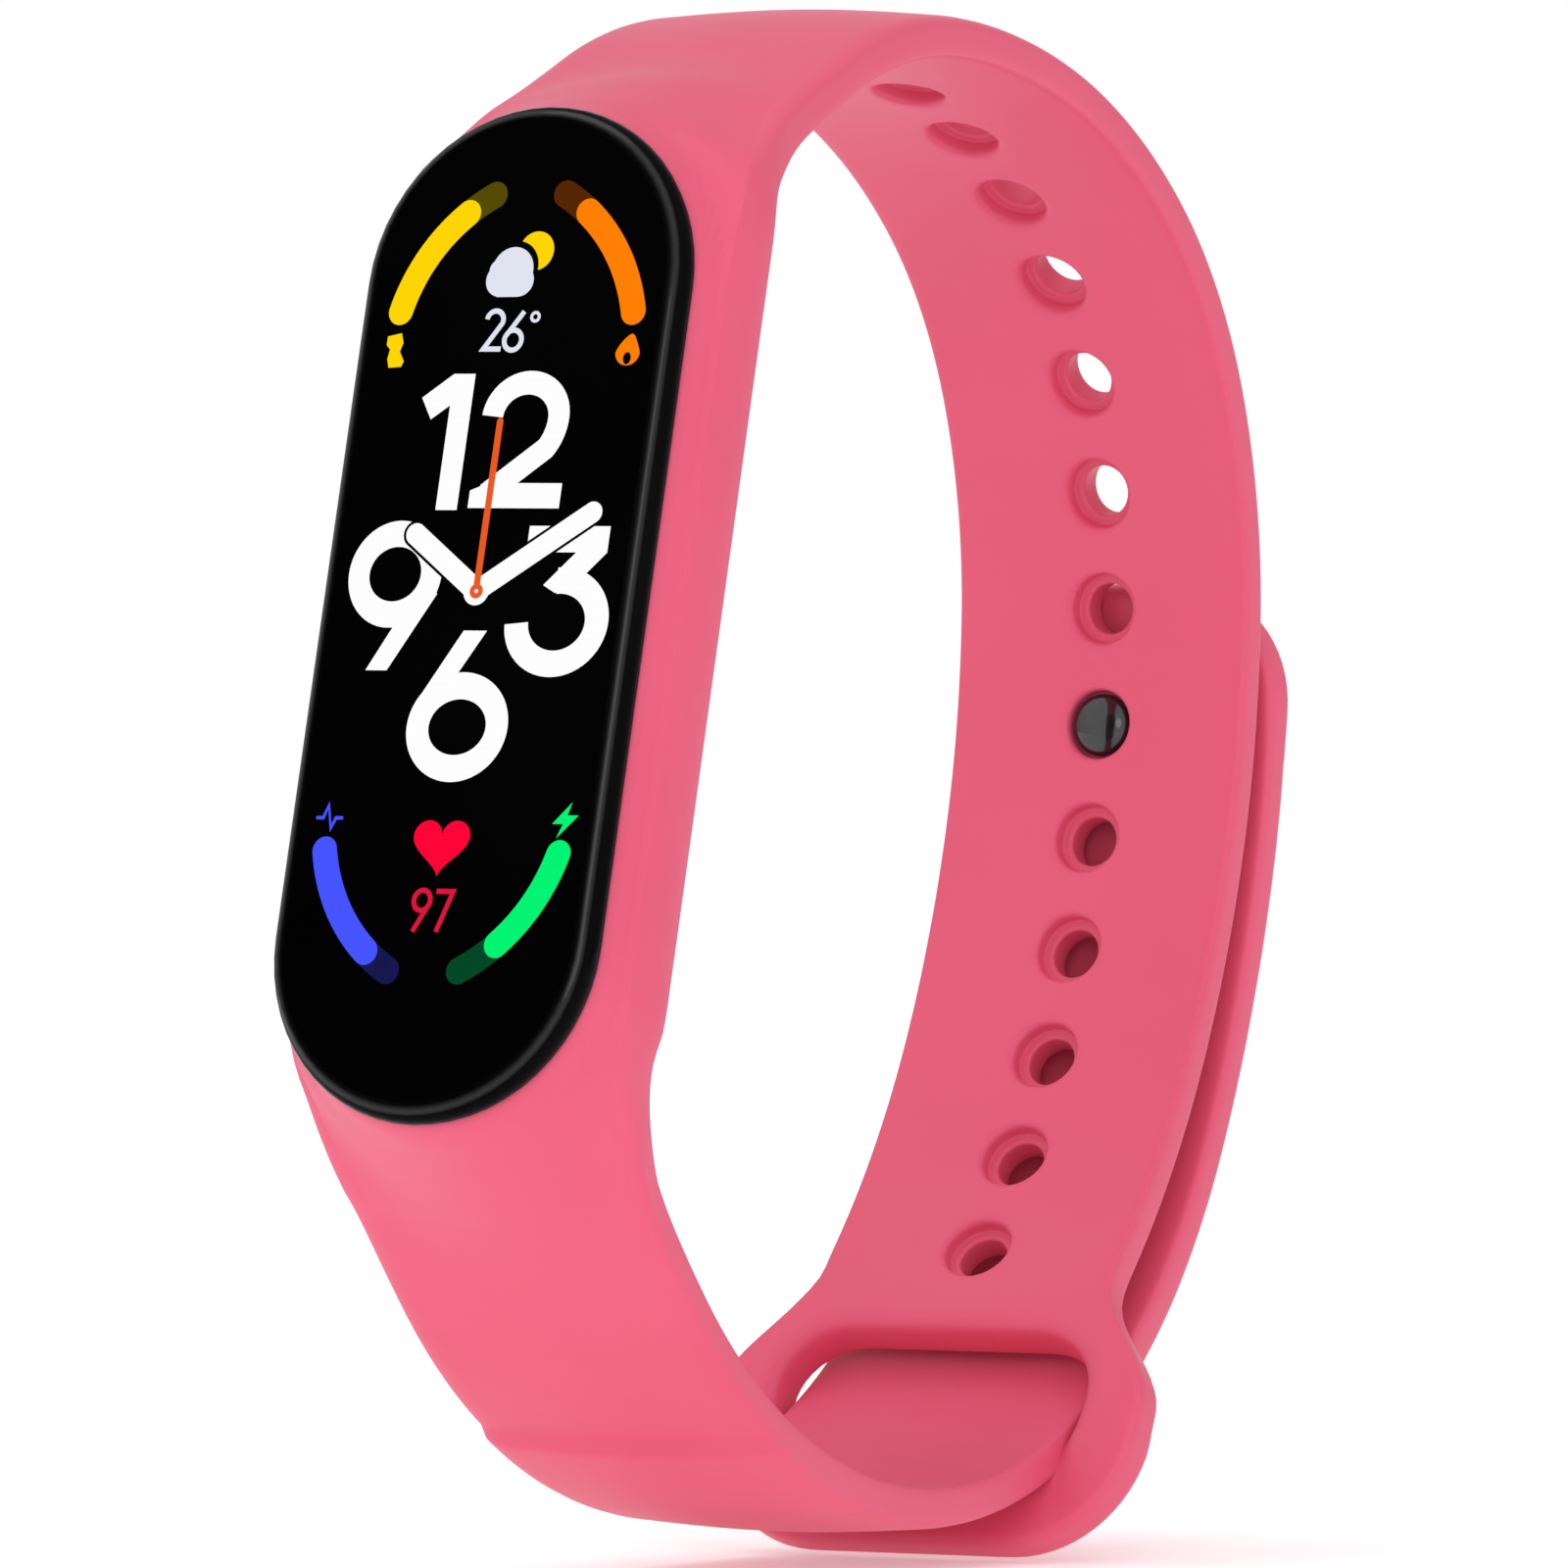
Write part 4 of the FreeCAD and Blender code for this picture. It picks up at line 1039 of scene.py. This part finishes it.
CAD_LOOKS = {"glass_gasket": SEAL, "touch_layer": FILM, "display_panel": PANEL, "display_flex": FLEX,
             "mid_frame": FRAME_METAL, "battery_cell": POUCH, "battery_lead": FLEX, "main_board": BOARD,
             "processor": CHIP, "shield_can": STEEL, "board_chips": CHIP, "antenna_strip": FLEX,
             "motor_case": STEEL, "motor_weight": WEIGHT_METAL, "back_seal": SEAL, "green_leds": LED,
             "photodiodes": DIODE, "light_barrier": SEAL}
for node, look in CAD_LOOKS.items():
    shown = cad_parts[node]
    shown.data.materials.clear()
    shown.data.materials.append(look)


# ---- watch face: flat lit shapes just over the glass, in the module's x and z ----
def lit(name, polys, material, lift):
    """Flat shapes: each is a closed loop of (x, z), or two lines of points and whether they close."""
    mesh = Mesh()
    for shape in polys:
        if isinstance(shape, tuple):
            a, b = mesh.add(level(shape[0], -lift)), mesh.add(level(shape[1], -lift))
            mesh.quads([a, b], closed=shape[2])
        else:
            mesh.faces.append(tuple(mesh.add(level(np.asarray(shape, float), -lift))))
    obj = mesh.build(name, material, weld=0.0002)
    front = Vector((0, -CT, ST))
    for poly in obj.data.polygons:
        if poly.normal.dot(front) < 0:
            poly.flip()
    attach(obj, "module")


def stroke(path, width, ends="butt"):
    """A ribbon along a path, as (left side, right side, open), and its round ends."""
    path = np.asarray(path, float)
    step = np.diff(path, axis=0)
    step /= np.linalg.norm(step, axis=1)[:, None]
    across = np.stack([-step[:, 1], step[:, 0]], -1)
    before, after = np.concatenate([across[:1], across]), np.concatenate([across, across[-1:]])
    middle = before + after
    middle /= np.linalg.norm(middle, axis=1)[:, None]
    half = width / 2
    off = middle * half / np.maximum(0.45, np.sum(middle * after, 1))[:, None]
    shapes = [(path + off, path - off, False)]
    if ends == "round":
        shapes.append(disc(path[0], half))
    if ends in ("round", "end"):
        shapes.append(disc(path[-1], half))
    return shapes


def disc(centre, r, r2=None, n=48):
    """A round outline, or an oval one where r2 gives its half-height."""
    a = np.linspace(0, 2 * math.pi, n, endpoint=False)
    return np.stack([centre[0] + r * np.cos(a), centre[1] + (r if r2 is None else r2) * np.sin(a)], -1)


def annulus(centre, outer_r, inner_r, n=72):
    return (disc(centre, outer_r[0], outer_r[1], n), disc(centre, inner_r[0], inner_r[1], n), True)


def arc_path(cx, cz, rx, rz, a, b, n=30):
    t = np.radians(np.linspace(a, b, n))
    return [(cx + rx * math.cos(v), cz + rz * math.sin(v)) for v in t]


def through(a, b, bulge, n=24):
    """An arc from a to b that stands `bulge` off its chord, to the left of the way from a to b."""
    a, b = np.array(a, float), np.array(b, float)
    chord = np.linalg.norm(b - a)
    r = (chord * chord / 4 + bulge * bulge) / (2 * abs(bulge))
    way = (b - a) / chord
    left = np.array([-way[1], way[0]]) * math.copysign(1, bulge)
    centre = (a + b) / 2 + left * (abs(bulge) - r)
    start, end = a - centre, b - centre
    t0 = math.atan2(start[1], start[0])
    t1 = math.atan2(end[1], end[0])
    while t1 - t0 > math.pi:
        t1 -= 2 * math.pi
    while t1 - t0 < -math.pi:
        t1 += 2 * math.pi
    return [tuple(centre + r * np.array([math.cos(t), math.sin(t)])) for t in np.linspace(t0, t1, n)]


DIAL_X, DIAL_Z = 1.03, -0.22


def shifted(points):
    """Points of the dial's numbers, moved from the dial's own middle."""
    return [(x + DIAL_X, z + DIAL_Z) for x, z in points]


WHITE = glow("lit_white", (1, 1, 1, 1))
YELLOW, OLIVE = glow("lit_yellow", srgb(255, 214, 0)), glow("lit_olive", srgb(85, 75, 0))
ORANGE, BROWN = glow("lit_orange", srgb(255, 128, 0)), glow("lit_brown", srgb(85, 38, 0))
BLUE, NAVY = glow("lit_blue", srgb(70, 84, 255)), glow("lit_navy", srgb(22, 22, 80))
GREEN, FOREST = glow("lit_green", srgb(0, 245, 115)), glow("lit_forest", srgb(0, 72, 38))
RED, ROSE = glow("lit_red", srgb(255, 0, 55)), glow("lit_rose", srgb(220, 20, 60))
CLOUD, HAND = glow("lit_cloud", srgb(226, 228, 242)), glow("lit_orange_red", srgb(235, 90, 32))
UNLIT = glow("lit_off", (0.0005, 0.0005, 0.0005, 1))

L1, L2, L3, L4, L6 = 0.010, 0.013, 0.016, 0.019, 0.025
for name, path, dim, colour, low in (
        ("steps", through((-5.95, 13.6), (-1.9, 18.95), 0.72), OLIVE, YELLOW, 0.76),
        ("energy", through((6.05, 13.6), (1.75, 19.0), -0.72), BROWN, ORANGE, 0.76),
        ("activity", through((-5.95, -11.1), (-1.87, -16.5), -0.72), NAVY, BLUE, 0.78),
        ("charge", through((6.08, -11.1), (1.8, -16.45), 0.72), FOREST, GREEN, 0.70)):
    count = int(len(path) * low)
    lit("arc_%s_rest" % name, stroke(path[count - 2:], 1.25, "end"), dim, L1)
    lit("arc_%s" % name, stroke(path[:count + 1], 1.25, "round"), colour, L2)

one = shifted([(-3.75, 4.7), (-2.65, 4.7), (-2.65, 10.95), (-3.75, 10.95), (-5.25, 9.85), (-4.65, 8.85),
               (-3.75, 9.5)])
lit("digit_1", [one], WHITE, L1)
two = arc_path(0.24, 8.95, 1.71, 1.6, 178, 0, 26) + arc_path(-0.05, 8.95, 2.0, 2.2, -6, -40, 8)
lit("digit_2", stroke(shifted(two + [(-1.28, 5.42)]), 1.08) +
    [shifted([(-2.1, 4.8), (2.6, 4.8), (2.6, 5.95), (-1.2, 5.95), (-2.1, 5.6)])], WHITE, L1)
lit("digit_9", [annulus((-5.35 + DIAL_X, 1.75 + DIAL_Z), (2.4, 2.45), (1.33, 1.25))] +
    [shifted([(-6.2, -2.65), (-5.1, -2.65), (-3.05, 0.85), (-3.35, 1.6), (-4.3, 0.75)])], WHITE, L1)
bowl = arc_path(3.3, -0.38, 2.05, 1.9, 97, -178, 44)
lit("digit_3", stroke(shifted(bowl), 1.2) +
    [shifted([(1.25, 2.8), (5.4, 2.8), (5.4, 4.0), (1.25, 4.0)]),
     shifted([(4.3, 3.3), (5.4, 3.3), (5.4, 2.8), (3.9, 1.25), (3.0, 0.95), (2.35, 1.3)])], WHITE, L1)
lit("digit_6", [annulus((-1.05 + DIAL_X, -5.2 + DIAL_Z), (2.6, 2.5), (1.47, 1.27))] +
    [shifted([(-1.4, -0.8), (-0.2, -0.8), (-1.95, -3.65), (-2.9, -3.6), (-3.45, -4.25)])], WHITE, L1)


def hand(name, a, b, width, material, lift):
    lit(name + "_edge", stroke([a, b], width + 0.26, "round"), UNLIT, lift)
    lit(name, stroke([a, b], width, "round"), material, lift + 0.003)


hub = (0.0, 0.78)
hand("hand_hour", hub, (-3.54, 3.37), 1.0, WHITE, L2)
hand("hand_minute", hub, (5.40, 4.40), 1.0, WHITE, L4)
lit("hand_hub", [disc(hub, 0.65)], WHITE, L6)
lit("hand_second", stroke([(hub[0] - 0.02, hub[1] - 0.1), (0.0, 8.55)], 0.33, "round"), HAND, L6 + 0.003)
lit("hand_second_hub", [disc(hub, 0.34)], HAND, L6 + 0.006)
lit("hand_second_pin", [disc(hub, 0.1)], CLOUD, L6 + 0.009)

# weather, readings and symbols
lit("sun", [disc((0.63, 16.38), 0.9)], YELLOW, L1)
lit("cloud_gap", [disc((-0.36, 15.64), 1.2), disc((-0.95, 15.1), 0.95)], UNLIT, L2)
lit("cloud", [disc((-0.46, 15.5), 1.06), disc((-0.02, 15.0), 0.72), disc((-0.98, 15.05), 0.78),
              disc((-1.15, 15.5), 0.5),
              [(-1.1, 14.26), (-0.02, 14.27), (0.4, 15.2), (-0.5, 16.0), (-1.5, 15.3)]], CLOUD, L3)
small = 0.24
t2 = arc_path(-1.0, 13.2, 0.42, 0.42, 175, -20, 16) + [(-1.42, 11.87), (-0.52, 11.87)]
t6 = arc_path(0.05, 12.28, 0.44, 0.46, 150, 510, 30)
lit("reading_2", stroke(t2, small), CLOUD, L1)
lit("reading_6", stroke(t6, small) + stroke([(0.45, 13.6), (-0.32, 12.5)], small), CLOUD, L1)
lit("reading_degree", [annulus((1.05, 13.35), (0.27, 0.27), (0.12, 0.12), 32)], CLOUD, L1)
heart = []
for t in np.linspace(0, 2 * math.pi, 64, endpoint=False):
    rise = 13 * math.cos(t) - 5 * math.cos(2 * t) - 2 * math.cos(3 * t) - math.cos(4 * t)
    heart.append((16 * math.sin(t) ** 3 * 0.0905, rise * 0.0885 - 10.72))
lit("heart", [heart], RED, L1)
p9 = arc_path(-0.56, -13.3, 0.42, 0.46, 0, 360, 30)
lit("pulse_9", stroke(p9, small) + stroke([(-0.17, -13.45), (-0.85, -14.72)], small), ROSE, L1)
lit("pulse_7", stroke([(0.12, -12.88), (0.98, -12.88), (0.36, -14.72)], small), ROSE, L1)
bolt = [(6.45, -8.75), (5.55, -9.75), (6.1, -9.75), (5.85, -10.4), (6.85, -9.35), (6.28, -9.35)]
lit("bolt", [bolt], GREEN, L1)
foot = [(-6.45, 12.45), (-5.75, 12.6), (-5.6, 12.15), (-5.72, 11.75), (-5.45, 11.3), (-5.55, 11.05),
        (-6.2, 11.0), (-6.32, 11.4), (-6.25, 11.85), (-6.45, 12.05)]
lit("shoe", [foot], YELLOW, L1)
flame = []
for t in np.linspace(0, 2 * math.pi, 40, endpoint=False):
    up = math.cos(t)
    wide = 0.62 * math.sin(t) * (1 - 0.45 * max(0, up))
    flame.append((6.05 + wide + 0.12 * max(0, up) ** 2, 11.72 + up * (0.85 if up > 0 else 0.6)))
lit("flame", [flame], ORANGE, L1)
lit("flame_heart", [disc((6.05, 11.45), 0.2, 0.28)], UNLIT, L2)
run = [(-6.55, -9.62), (-6.25, -9.62), (-6.05, -9.05), (-5.8, -10.1), (-5.6, -9.62), (-5.3, -9.62)]
lit("activity_wave", stroke(run, 0.16, "round"), BLUE, L1)

# ---- floor, light and camera ----
SKY_SIDE, SKY_FRONT = 0.54, 1.18


def stage_floor():
    low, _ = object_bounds()
    bpy.ops.mesh.primitive_plane_add(size=1.6, location=(0, 0, low.z - 0.0002))
    floor = bpy.context.object
    floor.name = "floor"
    n = Nodes("floor_pale")
    n.link(n.ramp(n.noise(3.0), [(0.3, (0.93, 0.93, 0.93, 1)), (0.7, (0.95, 0.95, 0.95, 1))]),
           n.shader.inputs["Base Color"])
    n.set(Roughness=0.9, Specular_IOR_Level=0.0, Emission_Color=(1, 1, 1, 1), Emission_Strength=0.28)
    floor.data.materials.append(n.material)


stage_floor()
world = bpy.data.worlds.new("studio")
world.use_nodes = True
tree = world.node_tree
sky = tree.nodes["Background"]
sky.inputs["Color"].default_value = (1, 1, 1, 1)
sky.inputs["Strength"].default_value = 1.0
way = tree.nodes.new("ShaderNodeTexCoord")


def towards(direction, start, end, low, high):
    """Brightness by how near the sky's direction is to one direction."""
    dot = tree.nodes.new("ShaderNodeVectorMath")
    dot.operation = "DOT_PRODUCT"
    dot.inputs[1].default_value = Vector(direction).normalized()
    tree.links.new(way.outputs["Generated"], dot.inputs[0])
    span = tree.nodes.new("ShaderNodeMapRange")
    span.interpolation_type = "SMOOTHSTEP"
    for key, value in (("From Min", start), ("From Max", end), ("To Min", low), ("To Max", high)):
        span.inputs[key].default_value = value
    tree.links.new(dot.outputs["Value"], span.inputs["Value"])
    return span.outputs["Result"]


def brightest(a, b):
    pick = tree.nodes.new("ShaderNodeMath")
    pick.operation = "MAXIMUM"
    tree.links.new(a, pick.inputs[0])
    tree.links.new(b, pick.inputs[1])
    return pick.outputs["Value"]


AZIMUTH, ELEVATION, ROLL = (math.radians(v) for v in (30.13, 1.15, 0.12))
BEHIND = (-math.sin(AZIMUTH), math.cos(AZIMUTH), -0.02)
backdrop = towards(BEHIND, 0.86, 0.97, SKY_SIDE, 1.0)
front_glow = towards((0.15, -0.8, 0.55), -0.1, 0.75, SKY_SIDE, SKY_FRONT)
tree.links.new(brightest(backdrop, front_glow), sky.inputs["Strength"])
bpy.context.scene.world = world


def area_light(name, place, size, power):
    """A round soft light that looks at the middle of the band."""
    data = bpy.data.lights.new(name, "AREA")
    data.shape, data.size, data.energy = "DISK", size, power
    lamp = bpy.data.objects.new(name, data)
    bpy.context.scene.collection.objects.link(lamp)
    lamp.location = place
    lamp.rotation_mode = "QUATERNION"
    lamp.rotation_quaternion = (-Vector(place)).to_track_quat("-Z", "Y")


area_light("key", (0.35, -0.75, 0.25), 0.35, 0.45)
area_light("above", (-0.2, 0.0, 0.8), 0.5, 0.35)

camera_data = bpy.data.cameras.new("camera")
camera = bpy.data.objects.new("camera", camera_data)
bpy.context.scene.collection.objects.link(camera)
camera_data.sensor_width, camera_data.lens = 36.0, 19025.0 / 1600 * 36.0
camera_data.clip_start, camera_data.clip_end = 0.05, 20.0
back = Vector((math.sin(AZIMUTH) * math.cos(ELEVATION), -math.cos(AZIMUTH) * math.cos(ELEVATION),
               math.sin(ELEVATION)))
right = (-back).cross(Vector((0, 0, 1))).normalized()
up = right.cross(-back).normalized()
c, s = math.cos(ROLL), math.sin(ROLL)
turned_right = right * c + up * s
turned_up = up * c - right * s
camera.matrix_world = Matrix.Translation((0.4253, -0.7373, 0.0163)) @ Matrix(
    (turned_right, turned_up, back)).transposed().to_4x4()
bpy.context.scene.camera = camera
bpy.context.scene.view_settings.view_transform = "Standard"
